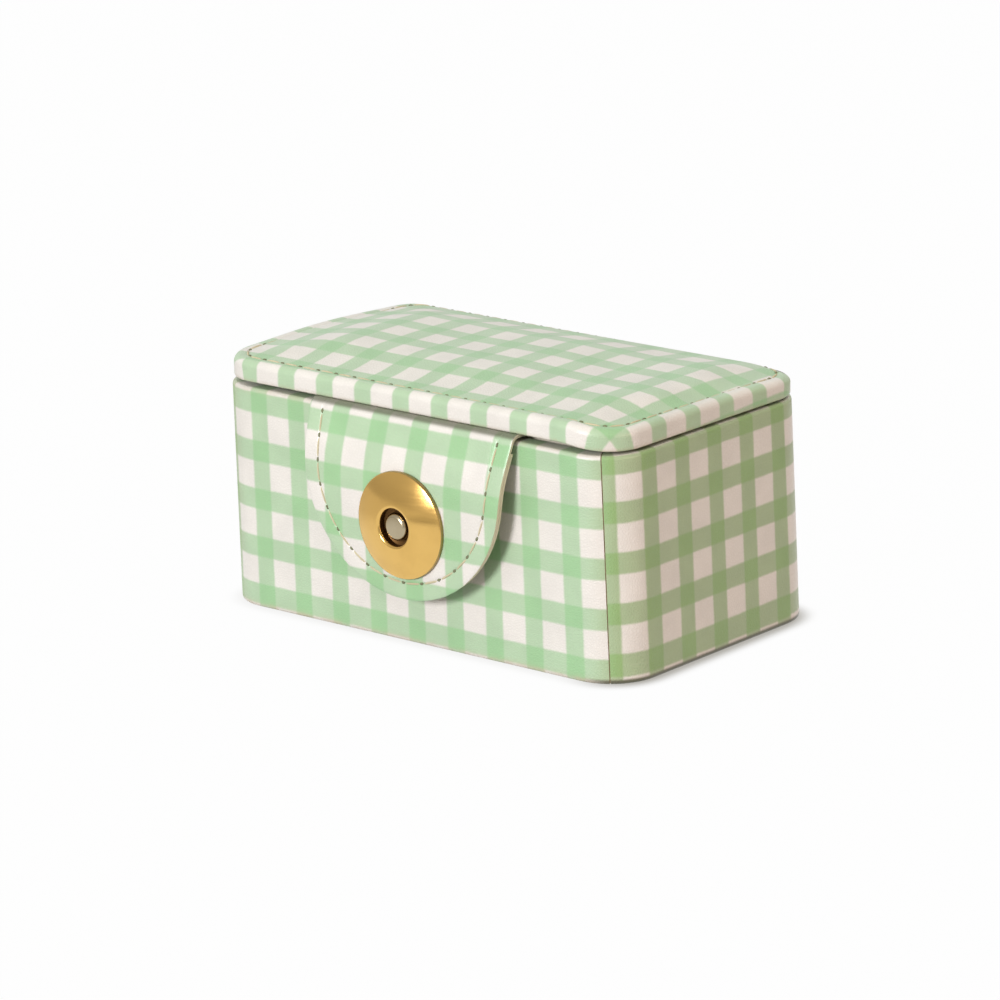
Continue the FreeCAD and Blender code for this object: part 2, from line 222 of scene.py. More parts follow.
def paint(obj, name, amount):  # amount gets a vertex place in millimetres and gives 0 to 1
    layer = obj.data.attributes.new(name, "FLOAT", "POINT")
    for v in obj.data.vertices:
        layer.data[v.index].value = amount(v.co / mm)


def wear(obj, *materials):
    obj.data.materials.clear()
    for m in materials:
        obj.data.materials.append(m)


def roundOutline(x, y, o):  # depth inside a rounded outline, length along it from the front's middle, way out
    y -= o["midY"]
    r = o["radius"]
    cx, cy = o["halfX"] - r, o["halfY"] - r
    quarter = r * math.pi / 2
    if abs(x) > cx and abs(y) > cy:
        ox, oy = x - math.copysign(cx, x), y - math.copysign(cy, y)
        reach = max(math.hypot(ox, oy), 1e-6)
        turn = math.atan2(ox, -oy)
        if y < 0:
            along = math.copysign(cx, x) + r * turn
        elif x > 0:
            along = cx + quarter + 2 * cy + r * (turn - math.pi / 2)
        else:
            along = -(cx + quarter + 2 * cy + r * (-turn - math.pi / 2))
        return r - reach, along, (ox / reach, oy / reach)
    sides = [
        (y + o["halfY"], x, (0.0, -1.0)),
        (o["halfX"] - x, cx + quarter + y + cy, (1.0, 0.0)),
        (o["halfY"] - y, cx + 2 * quarter + 2 * cy + cx - x, (0.0, 1.0)),
        (x + o["halfX"], -(cx + quarter + y + cy), (-1.0, 0.0)),
    ]
    return min(sides)


def depthAt(p, o):
    return roundOutline(p.x, p.y, o)[0]


def grooveSteps(s):  # insets from an edge in past a stitched groove
    first = [s["edgeRow"], s["stitchIn"] - s["grooveHalf"] - s["edgeRow"]]
    return first + [s["grooveHalf"] / 2] * 4 + list(s["innerRows"])


def grooveAt(depth, s):
    return s["grooveDepth"] * ease(abs(depth - s["stitchIn"]), s["grooveReach"], 0.0)


# shader tools

def newMaterial(name):
    made = bpy.data.materials.new(name)
    made.use_nodes = True
    return made, made.node_tree, made.node_tree.nodes["Principled BSDF"]


def feed(tree, socket, value):  # links another node's output, or sets a plain value
    if isinstance(value, bpy.types.NodeSocket):
        tree.links.new(value, socket)
    else:
        socket.default_value = value


def addNode(tree, kind, settings=None, **inputs):  # in0, in1 and so on are sockets by number
    n = tree.nodes.new("ShaderNode" + kind)
    for key, value in (settings or {}).items():
        setattr(n, key, value)
    for key, value in inputs.items():
        numbered = key.startswith("in") and key[2:].isdigit()
        feed(tree, n.inputs[int(key[2:]) if numbered else key.replace("_", " ")], value)
    return n


def sums(tree, operation, a, b=0.0):
    return addNode(tree, "Math", {"operation": operation}, in0=a, in1=b).outputs[0]


def vectors(tree, operation, a, b):
    return addNode(tree, "VectorMath", {"operation": operation}, in0=a, in1=b).outputs[0]


def scaled(tree, a, amount):
    return addNode(tree, "VectorMath", {"operation": "SCALE"}, in0=a, Scale=amount).outputs[0]


def noise(tree, place, scale, detail=2.0, **more):
    return addNode(tree, "TexNoise", None, Vector=place, Scale=scale, Detail=detail, **more).outputs


def blendColour(tree, share, a, b):
    return addNode(tree, "Mix", {"data_type": "RGBA"}, in0=share, in6=a, in7=b).outputs[2]


def rampTo(tree, value, low, high, outLow=0.0, outHigh=1.0):
    soft = {"interpolation_type": "SMOOTHSTEP"}
    return addNode(tree, "MapRange", soft, in0=value, in1=low, in2=high, in3=outLow, in4=outHigh).outputs[0]


def newGroup(name, ins, outs):  # ins and outs are socket names with their kinds
    tree = bpy.data.node_groups.new(name, "ShaderNodeTree")
    for sockets, side in ((ins, "INPUT"), (outs, "OUTPUT")):
        for label, kind in sockets.items():
            tree.interface.new_socket(name=label, in_out=side, socket_type="NodeSocket" + kind)
    return tree, tree.nodes.new("NodeGroupInput").outputs, tree.nodes.new("NodeGroupOutput").inputs


def placeGroup(tree, group, **inputs):
    return addNode(tree, "Group", {"node_tree": group}, **inputs).outputs


def bumpUp(tree, skin, height, strength, distance):
    bump = addNode(tree, "Bump", None, Strength=strength, Distance=distance, Height=height)
    tree.links.new(bump.outputs[0], skin.inputs["Normal"])


# effects that several finishes share

period = 8.2  # of the gingham, in millimetres
printShape = {"slowDrift": 2.3, "fineDrift": 15.0, "fineShare": 0.35, "yarnAcross": 34.0, "yarnAlong": 1.6}


def makeGinghamPrint(g):  # woven-look check printed on the sheet, in pattern periods
    ins = {"Vector": "Vector", "White": "Color", "Single": "Color", "Cross": "Color", "White Half": "Float",
           "Softness": "Float", "Wobble": "Float", "Streaks": "Float"}
    tree, given, out = newGroup("ginghamPrint", ins, {"Color": "Color"})
    place = given["Vector"]
    drift = blendColour(tree, g["fineShare"], noise(tree, place, g["slowDrift"])["Color"],
                        noise(tree, place, g["fineDrift"])["Color"])
    drift = scaled(tree, vectors(tree, "SUBTRACT", drift, (0.5, 0.5, 0.5)), given["Wobble"])
    parts = addNode(tree, "SeparateXYZ", None, in0=vectors(tree, "ADD", place, drift)).outputs
    low = sums(tree, "SUBTRACT", given["White Half"], given["Softness"])
    high = sums(tree, "ADD", given["White Half"], given["Softness"])
    masks = []
    for i in (0, 1):
        within = sums(tree, "FRACT", sums(tree, "ADD", parts[i], 0.5))
        inked = rampTo(tree, sums(tree, "ABSOLUTE", sums(tree, "SUBTRACT", within, 0.5)), low, high)
        stretch = [g["yarnAlong"], g["yarnAlong"], 1.0]
        stretch[i] = g["yarnAcross"]
        yarn = noise(tree, vectors(tree, "MULTIPLY", place, stretch), 1.0)[0]
        thin = sums(tree, "MULTIPLY", sums(tree, "SUBTRACT", yarn, 0.5), given["Streaks"])
        masks.append(sums(tree, "MULTIPLY", inked, sums(tree, "ADD", 1.0, sums(tree, "MULTIPLY", thin, 2.0))))
    bare = blendColour(tree, masks[0], given["White"], given["Single"])
    crossed = blendColour(tree, masks[0], given["Single"], given["Cross"])
    tree.links.new(blendColour(tree, masks[1], bare, crossed), out["Color"])
    return tree


pebbleShape = {
    "bendScale": 0.7, "bend": 0.045, "domeEdge": 0.32, "fineScale": 3.1, "dome": 0.55, "fine": 0.25,
    "slow": 1.2,
}


def makePebbleGrain(g):  # fine pebbled leatherette skin: cells with creases, and slow unevenness
    ins = {"Vector": "Vector", "Cells": "Float", "Waves": "Float"}
    tree, given, out = newGroup("pebbleGrain", ins, {"Height": "Float", "Crease": "Float", "Mottle": "Float"})
    place = given["Vector"]
    bend = noise(tree, place, sums(tree, "MULTIPLY", given["Cells"], g["bendScale"]), 1.0)["Color"]
    at = vectors(tree, "ADD", place, scaled(tree, bend, g["bend"]))
    cells = addNode(tree, "TexVoronoi", {"feature": "DISTANCE_TO_EDGE"}, Vector=at, Scale=given["Cells"])
    dome = rampTo(tree, cells.outputs["Distance"], 0.0, g["domeEdge"])
    fine = noise(tree, place, sums(tree, "MULTIPLY", given["Cells"], g["fineScale"]))[0]
    slow = noise(tree, place, given["Waves"])[0]
    height = sums(tree, "MULTIPLY", dome, g["dome"])
    height = sums(tree, "ADD", height, sums(tree, "MULTIPLY", fine, g["fine"]))
    height = sums(tree, "ADD", height, sums(tree, "MULTIPLY", slow, g["slow"]))
    tree.links.new(height, out["Height"])
    tree.links.new(sums(tree, "SUBTRACT", 1.0, dome), out["Crease"])
    tree.links.new(slow, out["Mottle"])
    return tree


fibreShape = {
    "tangle": {"Roughness": 0.7, "Distortion": 1.2}, "tangleDetail": 4.0, "combed": (0.35, 1.0, 0.6),
    "combedScale": 2.3, "slowScale": 0.12, "tangleShare": 0.6, "combedShare": 0.4, "fleckFrom": (0.58, 0.72),
}


def makeFibres(g):  # short tangled fibres for board, cut edges, lining nap and thread
    ins = {"Vector": "Vector", "Scale": "Float"}
    tree, given, out = newGroup("fibres", ins, {"Height": "Float", "Fleck": "Float", "Mottle": "Float"})
    place = given["Vector"]
    tangled = noise(tree, place, given["Scale"], g["tangleDetail"], **g["tangle"])[0]
    lying = vectors(tree, "MULTIPLY", place, g["combed"])
    combed = noise(tree, lying, sums(tree, "MULTIPLY", given["Scale"], g["combedScale"]))[0]
    slow = noise(tree, place, sums(tree, "MULTIPLY", given["Scale"], g["slowScale"]))[0]
    tangledPart = sums(tree, "MULTIPLY", tangled, g["tangleShare"])
    combedPart = sums(tree, "MULTIPLY", combed, g["combedShare"])
    tree.links.new(sums(tree, "ADD", tangledPart, combedPart), out["Height"])
    tree.links.new(rampTo(tree, combed, *g["fleckFrom"]), out["Fleck"])
    tree.links.new(slow, out["Mottle"])
    return tree


ginghamPrint = makeGinghamPrint(printShape)
pebbleGrain = makePebbleGrain(pebbleShape)
fibres = makeFibres(fibreShape)


# finishes

# the darker end greens are painted shade; the edge tone is wear and also a painted highlight and painted
# shade; the darkest tone is painted shade in gaps
ginghamLook = {
    "white": (0.850, 0.812, 0.765, 1), "single": (0.466, 0.641, 0.421, 1), "cross": (0.345, 0.600, 0.312, 1),
    "shadedEndSingle": (0.400, 0.520, 0.302, 1), "shadedEndCross": (0.286, 0.460, 0.172, 1),
    "whiteHalf": 0.286, "softness": 0.032, "wobble": 0.035, "streaks": 0.10, "cells": 17.0, "waves": 1.3,
    "mottle": (0.3, 0.7, 0.965, 1.03), "crease": (0.42, 0.40, 0.33, 1), "creaseShare": 0.07,
    "worn": (0.56, 0.46, 0.32, 1), "wearAndLightScale": 2.6, "wearAndLightPatches": (0.34, 0.66, 0.25, 1.0),
    "dusk": (0.10, 0.10, 0.055, 1), "rough": (0.36, 0.50), "grain": 0.50, "grainDepth": 0.00010,
    "coat": 0.45, "coatRough": 0.30,
}


def makeGingham(look):  # reads each piece's painted masks: darker end greens as painted shade, edge wear that is also a painted highlight at the body's rim and painted shade at its foot, and painted shade in gaps
    made, tree, skin = newMaterial("ginghamLeatherette")
    uv = addNode(tree, "UVMap", {"uv_map": "pattern"}).outputs[0]
    deep, worn, shadeMask = (addNode(tree, "Attribute", {"attribute_name": name}).outputs["Fac"]
                          for name in ("deepTone", "wornEdge", "foldShade"))
    # painted shade: the ends take darker copies of the greens
    check = placeGroup(tree, ginghamPrint, Vector=uv, White=look["white"],
                       Single=blendColour(tree, deep, look["single"], look["shadedEndSingle"]),
                       Cross=blendColour(tree, deep, look["cross"], look["shadedEndCross"]),
                       White_Half=look["whiteHalf"], Softness=look["softness"], Wobble=look["wobble"],
                       Streaks=look["streaks"])
    grain = placeGroup(tree, pebbleGrain, Vector=uv, Cells=look["cells"], Waves=look["waves"])
    toned = scaled(tree, check["Color"], rampTo(tree, grain["Mottle"], *look["mottle"]))
    creased = sums(tree, "MULTIPLY", grain["Crease"], look["creaseShare"])
    toned = blendColour(tree, creased, toned, look["crease"])
    # edge wear, which is also a painted highlight at the body's rim and painted shade at its foot
    patches = noise(tree, uv, look["wearAndLightScale"], 4.0, Roughness=0.65)[0]
    worn = sums(tree, "MULTIPLY", worn, rampTo(tree, patches, *look["wearAndLightPatches"]))
    toned = blendColour(tree, worn, toned, look["worn"])
    # painted shade in gaps and under edges
    toned = blendColour(tree, shadeMask, toned, look["dusk"])
    tree.links.new(toned, skin.inputs["Base Color"])
    tree.links.new(rampTo(tree, grain["Crease"], 0.0, 1.0, *look["rough"]), skin.inputs["Roughness"])
    bumpUp(tree, skin, grain["Height"], look["grain"], look["grainDepth"])
    skin.inputs["Coat Weight"].default_value = look["coat"]
    skin.inputs["Coat Roughness"].default_value = look["coatRough"]
    return made


plainLook = {
    "colour": (0.74, 0.69, 0.58, 1), "shadow": (0.58, 0.52, 0.42, 1), "cells": 2100.0, "waves": 150.0,
    "creaseShare": 0.35, "mottle": (0.35, 0.75, 0.0, 0.25), "rough": (0.46, 0.60), "grain": 0.35,
    "grainDepth": 0.00009,
}


def makePlainSheet(look):
    made, tree, skin = newMaterial("plainLeatherette")
    at = addNode(tree, "TexCoord").outputs["Object"]
    grain = placeGroup(tree, pebbleGrain, Vector=at, Cells=look["cells"], Waves=look["waves"])
    creased = sums(tree, "MULTIPLY", grain["Crease"], look["creaseShare"])
    toned = blendColour(tree, creased, look["colour"], look["shadow"])
    toned = blendColour(tree, rampTo(tree, grain["Mottle"], *look["mottle"]), toned, look["shadow"])
    tree.links.new(toned, skin.inputs["Base Color"])
    tree.links.new(rampTo(tree, grain["Crease"], 0.0, 1.0, *look["rough"]), skin.inputs["Roughness"])
    bumpUp(tree, skin, grain["Height"], look["grain"], look["grainDepth"])
    return made


fibreLook = {
    "fleckShare": 0.5, "mottle": (0.35, 0.7, 0.0, 0.35), "nap": (0.3, 0.7), "polished": 0.12, "grain": 0.6,
}


def makeFibre(name, colour, fleck, rough, scale, depth, sheen=0.0):
    look = fibreLook
    made, tree, skin = newMaterial(name)
    at = addNode(tree, "TexCoord").outputs["Object"]
    nap = placeGroup(tree, fibres, Vector=at, Scale=scale)
    flecked = sums(tree, "MULTIPLY", nap["Fleck"], look["fleckShare"])
    toned = blendColour(tree, flecked, (*colour, 1), (*fleck, 1))
    toned = blendColour(tree, rampTo(tree, nap["Mottle"], *look["mottle"]), toned, (*fleck, 1))
    tree.links.new(toned, skin.inputs["Base Color"])
    haze = rampTo(tree, nap["Height"], *look["nap"], rough, rough - look["polished"])
    tree.links.new(haze, skin.inputs["Roughness"])
    bumpUp(tree, skin, nap["Height"], look["grain"], depth)
    skin.inputs["Sheen Weight"].default_value = sheen
    return made


metalLook = {
    "rubbing": (160.0, 160.0, 2600.0), "cloudScale": 230.0, "cloudTone": (0.4, 0.75, 0.0, 0.30),
    "pitScale": 900.0, "pitTone": (0.0, 0.10, 0.45, 0.0), "haze": (0.3, 0.8, -0.03, 0.06),
    "lineHaze": (0.3, 0.7, 0.0, 0.03), "depth": 0.00002,
}


def makeMetal(name, colour, tarnish, rough, scratch=0.05):
    look = metalLook
    made, tree, skin = newMaterial(name)
    at = addNode(tree, "TexCoord").outputs["Object"]
    lines = noise(tree, vectors(tree, "MULTIPLY", at, look["rubbing"]), 1.0, 3.0)[0]
    cloud = noise(tree, at, look["cloudScale"], 3.0)[0]
    pits = addNode(tree, "TexVoronoi", {"feature": "F1"}, Vector=at, Scale=look["pitScale"])
    toned = blendColour(tree, rampTo(tree, cloud, *look["cloudTone"]), (*colour, 1), (*tarnish, 1))
    toned = blendColour(tree, rampTo(tree, pits.outputs["Distance"], *look["pitTone"]), toned, (*tarnish, 1))
    tree.links.new(toned, skin.inputs["Base Color"])
    low, high, under, over = look["haze"]
    haze = rampTo(tree, cloud, low, high, rough + under, rough + over)
    tree.links.new(sums(tree, "ADD", haze, rampTo(tree, lines, *look["lineHaze"])), skin.inputs["Roughness"])
    bumpUp(tree, skin, lines, scratch, look["depth"])
    skin.inputs["Metallic"].default_value = 1.0
    return made


gingham = makeGingham(ginghamLook)
plainSheet = makePlainSheet(plainLook)
sheetBack = makeFibre("sheetBack", (0.72, 0.68, 0.58), (0.60, 0.55, 0.44), 0.9, 1500.0, 0.00006)
cutEdge = makeFibre("cutEdge", (0.80, 0.73, 0.58), (0.60, 0.52, 0.36), 0.85, 2400.0, 0.00006)
seamLine = makeFibre("seamLine", (0.36, 0.29, 0.18), (0.52, 0.45, 0.30), 0.85, 1800.0, 0.00005)
greyBoard = makeFibre("greyBoard", (0.30, 0.28, 0.25), (0.44, 0.41, 0.36), 0.92, 1300.0, 0.00008)
liningNap = makeFibre("liningNap", (0.74, 0.69, 0.58), (0.58, 0.52, 0.41), 0.95, 1700.0, 0.00012, sheen=0.35)
threadLook = makeFibre("threadTwist", (0.66, 0.59, 0.40), (0.48, 0.41, 0.25), 0.8, 2600.0, 0.00008, sheen=0.2)
# painted shade at the needle holes
holeShade = makeFibre("needleHole", (0.19, 0.20, 0.115), (0.30, 0.30, 0.18), 0.9, 2400.0, 0.00004)
brass = makeMetal("brassPlate", (0.78, 0.50, 0.155), (0.60, 0.36, 0.10), 0.16)
# painted shade: darker brass for the cap's side wall and for the well in its hole
brassEdgeShade = makeMetal("brassEdgeShade", (0.40, 0.29, 0.12), (0.22, 0.15, 0.05), 0.32)
dullWell = makeMetal("dullWell", (0.16, 0.085, 0.030), (0.07, 0.035, 0.015), 0.45)
nubPlate = makeMetal("nubPlate", (0.47, 0.40, 0.27), (0.33, 0.26, 0.15), 0.22)
platedSteel = makeMetal("platedSteel", (0.60, 0.53, 0.41), (0.40, 0.33, 0.22), 0.24)
magnetDark = makeMetal("sinteredMagnet", (0.10, 0.10, 0.11), (0.05, 0.05, 0.05), 0.50, scratch=0.3)
print("finishes made")


# camera, floor and light

viewOf = {
    "place": (0.5180, -0.5939, 0.2427), "turn": 41.27, "rise": 15.91, "roll": 1.82,
    "lens": 180.0, "sensor": 36.0,
}


def wayTo(turn, rise):  # direction from the box, turned from its front and raised
    return Vector((math.sin(turn) * math.cos(rise), -math.cos(turn) * math.cos(rise), math.sin(rise)))


def placeCamera(v):
    turn, rise, roll = (math.radians(v[k]) for k in ("turn", "rise", "roll"))
    back = wayTo(turn, rise)
    right = Vector((math.cos(turn), math.sin(turn), 0))
    down = -back.cross(right)
    across = right * math.cos(roll) + down * math.sin(roll)
    up = right * math.sin(roll) - down * math.cos(roll)
    data = bpy.data.cameras.new("photoCamera")
    data.lens = v["lens"]
    data.sensor_width = v["sensor"]
    data.clip_start = 0.01
    data.clip_end = 20
    cam = bpy.data.objects.new("photoCamera", data)
    bpy.context.scene.collection.objects.link(cam)
    cam.matrix_world = Matrix.Translation(v["place"]) @ Matrix((across, up, back)).transposed().to_4x4()
    bpy.context.scene.camera = cam


studio = {
    "floorSize": 8.0, "floorDrop": 0.00003, "floorWhite": 0.985, "floorColour": (0.36, 0.355, 0.345, 1),
    # painted shadow under the box, and a painted reflection for glossy rays
    "contactReach": 0.0035, "contactFrom": (0.45, 1.0, 1.0, 0.0), "contactTone": (0.42, 0.40, 0.36, 1),
    "contactSide": (0.030, 0.046, 0.15, 1.0), "leftTone": (0.76, 0.74, 0.70, 1),
    "leftFade": (-0.11, -0.05, 1.0, 0.0), "glossWhiteRun": (0.172, 0.178), "glossEdgeTone": (0.34, 0.32, 0.28, 1),
    "edgeFade": (0.18, 0.30), "beyond": (0.60, 0.58, 0.54, 1),
    "ambient": (0.20, 0.197, 0.193, 1), "zenith": (0.82, 0.845, 0.755, 1), "zenithFrom": (0.3, 0.9),
    "horizon": (0.50, 0.48, 0.45, 1), "ceiling": (0.62, 0.60, 0.57, 1), "ceilingFrom": (0.0, 0.30),
    "backWall": (1.0, 1.0, 1.0, 1), "backWay": (-0.634, 0.723, 0.274), "backFrom": (0.45, 0.8),
    "aim": (0, 0, 0.02),
    "key": {"turn": 0, "rise": 18, "reach": 1.1, "size": 0.30, "power": 8.75, "colour": (1.0, 0.98, 1.0)},
    "fill": {"turn": 95, "rise": 12, "reach": 0.9, "size": 0.5, "power": 2.5, "colour": (1.0, 0.675, 0.55)},
}
white = (1, 1, 1, 1)


def makeFloor(s):  # white to the camera, with a painted shadow under the box; to glossy rays a painted reflection, white near the box and darker beyond
    freshStart()
    bpy.ops.mesh.primitive_plane_add(size=s["floorSize"], location=(0, 0, -s["floorDrop"]))
    floor = nameIt("studioFloor")
    setInPlace()
    made, tree, skin = newMaterial("paleFloor")
    tree.nodes.remove(skin)
    path = addNode(tree, "LightPath").outputs
    shiny = sums(tree, "MAXIMUM", path["Is Camera Ray"], path["Is Glossy Ray"])
    seen = sums(tree, "MAXIMUM", shiny, path["Is Transmission Ray"])
    at = addNode(tree, "TexCoord").outputs["Object"]
    across = addNode(tree, "SeparateXYZ", None, in0=at).outputs[0]
    away = addNode(tree, "VectorMath", {"operation": "LENGTH"}, in0=at).outputs["Value"]
    # painted shadow: ambient occlusion darkens the floor's glow next to the box, most at the right
    clear = addNode(tree, "AmbientOcclusion", {"samples": 16}, Distance=s["contactReach"]).outputs["AO"]
    side = rampTo(tree, across, *s["contactSide"])
    closed = sums(tree, "MULTIPLY", rampTo(tree, clear, *s["contactFrom"]), side)
    underfoot = blendColour(tree, closed, white, s["contactTone"])
    # painted reflection: white near the box, a darker ring, grey beyond and greyer on the left
    beyond = blendColour(tree, rampTo(tree, away, *s["edgeFade"]), s["glossEdgeTone"], s["beyond"])
    mirrored = blendColour(tree, rampTo(tree, away, *s["glossWhiteRun"]), white, beyond)
    mirrored = blendColour(tree, rampTo(tree, across, *s["leftFade"]), mirrored, s["leftTone"])
    shown = blendColour(tree, path["Is Glossy Ray"], underfoot, mirrored)
    glow = addNode(tree, "Emission", None, Color=shown, Strength=1.0).outputs[0]
    matte = addNode(tree, "BsdfDiffuse", None, Color=s["floorColour"]).outputs[0]
    whitened = sums(tree, "MULTIPLY", seen, s["floorWhite"])
    both = addNode(tree, "MixShader", None, in0=whitened, in1=matte, in2=glow)
    tree.links.new(both.outputs[0], tree.nodes["Material Output"].inputs["Surface"])
    floor.data.materials.append(made)


def makeWorld(s):
    world = bpy.data.worlds.new("softStudio")
    bpy.context.scene.world = world
    world.use_nodes = True
    tree = world.node_tree
    path = addNode(tree, "LightPath").outputs
    way = addNode(tree, "TexCoord").outputs["Generated"]
    height = addNode(tree, "SeparateXYZ", None, in0=way).outputs[2]
    soft = tree.nodes["Background"]
    soft.inputs["Strength"].default_value = 1.0
    above = blendColour(tree, rampTo(tree, height, *s["zenithFrom"]), s["ambient"], s["zenith"])
    tree.links.new(above, soft.inputs["Color"])
    ahead = blendColour(tree, rampTo(tree, height, *s["ceilingFrom"]), s["horizon"], s["ceiling"])
    behind = addNode(tree, "VectorMath", {"operation": "DOT_PRODUCT"}, in0=way, in1=s["backWay"])
    around = blendColour(tree, rampTo(tree, behind.outputs["Value"], *s["backFrom"]), ahead, s["backWall"])
    mirrored = addNode(tree, "Background", None, Strength=1.0, Color=around).outputs[0]
    plain = addNode(tree, "Background", None, Color=white, Strength=1.0).outputs[0]
    shiny = sums(tree, "MAXIMUM", path["Is Glossy Ray"], path["Is Transmission Ray"])
    inner = addNode(tree, "MixShader", None, in0=shiny, in1=soft.outputs[0], in2=mirrored).outputs[0]
    outer = addNode(tree, "MixShader", None, in0=path["Is Camera Ray"], in1=inner, in2=plain).outputs[0]
    tree.links.new(outer, tree.nodes["World Output"].inputs["Surface"])


def hangLamp(name, l):
    out = wayTo(math.radians(l["turn"]), math.radians(l["rise"]))
    data = bpy.data.lights.new(name, "AREA")
    data.shape = "DISK"
    data.size = l["size"]
    data.energy = l["power"]
    data.color = l["colour"]
    lamp = bpy.data.objects.new(name, data)
    bpy.context.scene.collection.objects.link(lamp)
    lamp.location = Vector(studio["aim"]) + out * l["reach"]
    lamp.rotation_mode = "QUATERNION"
    lamp.rotation_quaternion = out.to_track_quat("Z", "Y")


placeCamera(viewOf)
makeFloor(studio)
makeWorld(studio)
hangLamp("keyLamp", studio["key"])
hangLamp("warmFill", studio["fill"])
bpy.context.scene.view_settings.view_transform = "Standard"
print("camera, floor and light set")


# body cover: sheet wrapped round the walls, turned in at rim and foot, butted at the front right corner

bodyShape = {
    "halfX": 42.5, "halfY": 25.5, "radius": 8.3, "midY": 0.0, "low": 0.0, "rim": 37.5, "cornerSteps": 18,
    "rimWidth": 3.5, "rimRadius": 0.7, "turnIn": 5.0, "footRadius": 0.5, "turnUnder": 6.0, "sheet": 0.5,
    "seamTurn": 35.0, "seamHalf": 0.09, "seamDepth": 0.20,
    "wearRows": (0.62, 0.8, 1.0, 1.6, 3.0, 5.0, 30.0, 32.5, 35.4, 36.2),
    "endRun": (25.0, 40.0), "skin": (2.6, 1.2), "footOut": 0.6, "leanIn": 0.019, "leftOut": 0.6,
    "rimDrop": 0.58, "dropRun": (30.0, 37.5), "backIn": 0.3, "backRun": (8.0, 20.0), "backFoot": 0.3,
    "frontColumn": -28.05, "frontRow": 31.07, "sideColumn": -12.53, "sideRow": 31.98,
    "footBand": (5.0, 1.0), "footStretch": 0.3,
    # the foot and rim marks are edge wear, with painted shade at the foot and a painted highlight at the rim;
    # the rim's top and the right foot get painted shade
    "outside": 1.0, "footWearAndShade": 0.75, "footWearAndShadeRun": (1.3, 0.1), "rimWearAndHighlight": 0.45, "rimWearAndHighlightBelow": 0.25,
    "rimWearAndHighlightReach": 0.8, "rimShade": 0.5, "rimShadeFrom": 0.9, "rimShadeRun": (0.5, 1.3), "rightRun": (34.0, 40.0),
    "footShade": (1.0, 0.55),
    "endShadeRun": (36.0, 41.0),
}


def ginghamRound(b):  # pattern place by the length from the seam, evened out at the back and the left end
    cx, cy = b["halfX"] - b["radius"], b["halfY"] - b["radius"]
    quarter = b["radius"] * math.pi / 2
    whole = 4 * cx + 4 * cy + 4 * quarter
    seam = cx + b["radius"] * math.radians(b["seamTurn"])
    sideStart = cx + quarter + b["sideColumn"] + cy - seam
    sideEnd = cx + quarter + 2 * cy - seam
    frontStart = (-cx - quarter / 2 - seam) % whole
    frontMark = (b["frontColumn"] - seam) % whole
    turns = round((frontMark - sideStart) / period)

    def across(run):
        if run <= sideEnd:
            return (run - sideStart) / period, b["sideRow"]
        if run >= frontStart:
            return (run - frontMark) / period + turns, b["frontRow"]
        share = (run - sideEnd) / (frontStart - sideEnd)
        u0 = (sideEnd - sideStart) / period
        u1 = (frontStart - frontMark) / period + turns
        return u0 + (u1 - u0) * share, b["sideRow"] + (b["frontRow"] - b["sideRow"]) * share

    def place(p, middle):
        depth, along, _ = roundOutline(p.x, p.y, b)
        run = (along - seam) % whole
        near = (roundOutline(middle.x, middle.y, b)[1] - seam) % whole
        if run - near > whole / 2:
            run -= whole
        elif near - run > whole / 2:
            run += whole
        u, row = across(run)
        if p.z < b["footBand"][0]:
            height = p.z - depth
            if row == b["sideRow"]:
                height += b["footStretch"] * ease(p.z, *b["footBand"])
        elif depth < b["rimWidth"] / 2:
            height = p.z + depth
        else:
            height = 2 * b["rim"] + depth - p.z
        return u, (height - row) / period

    return place


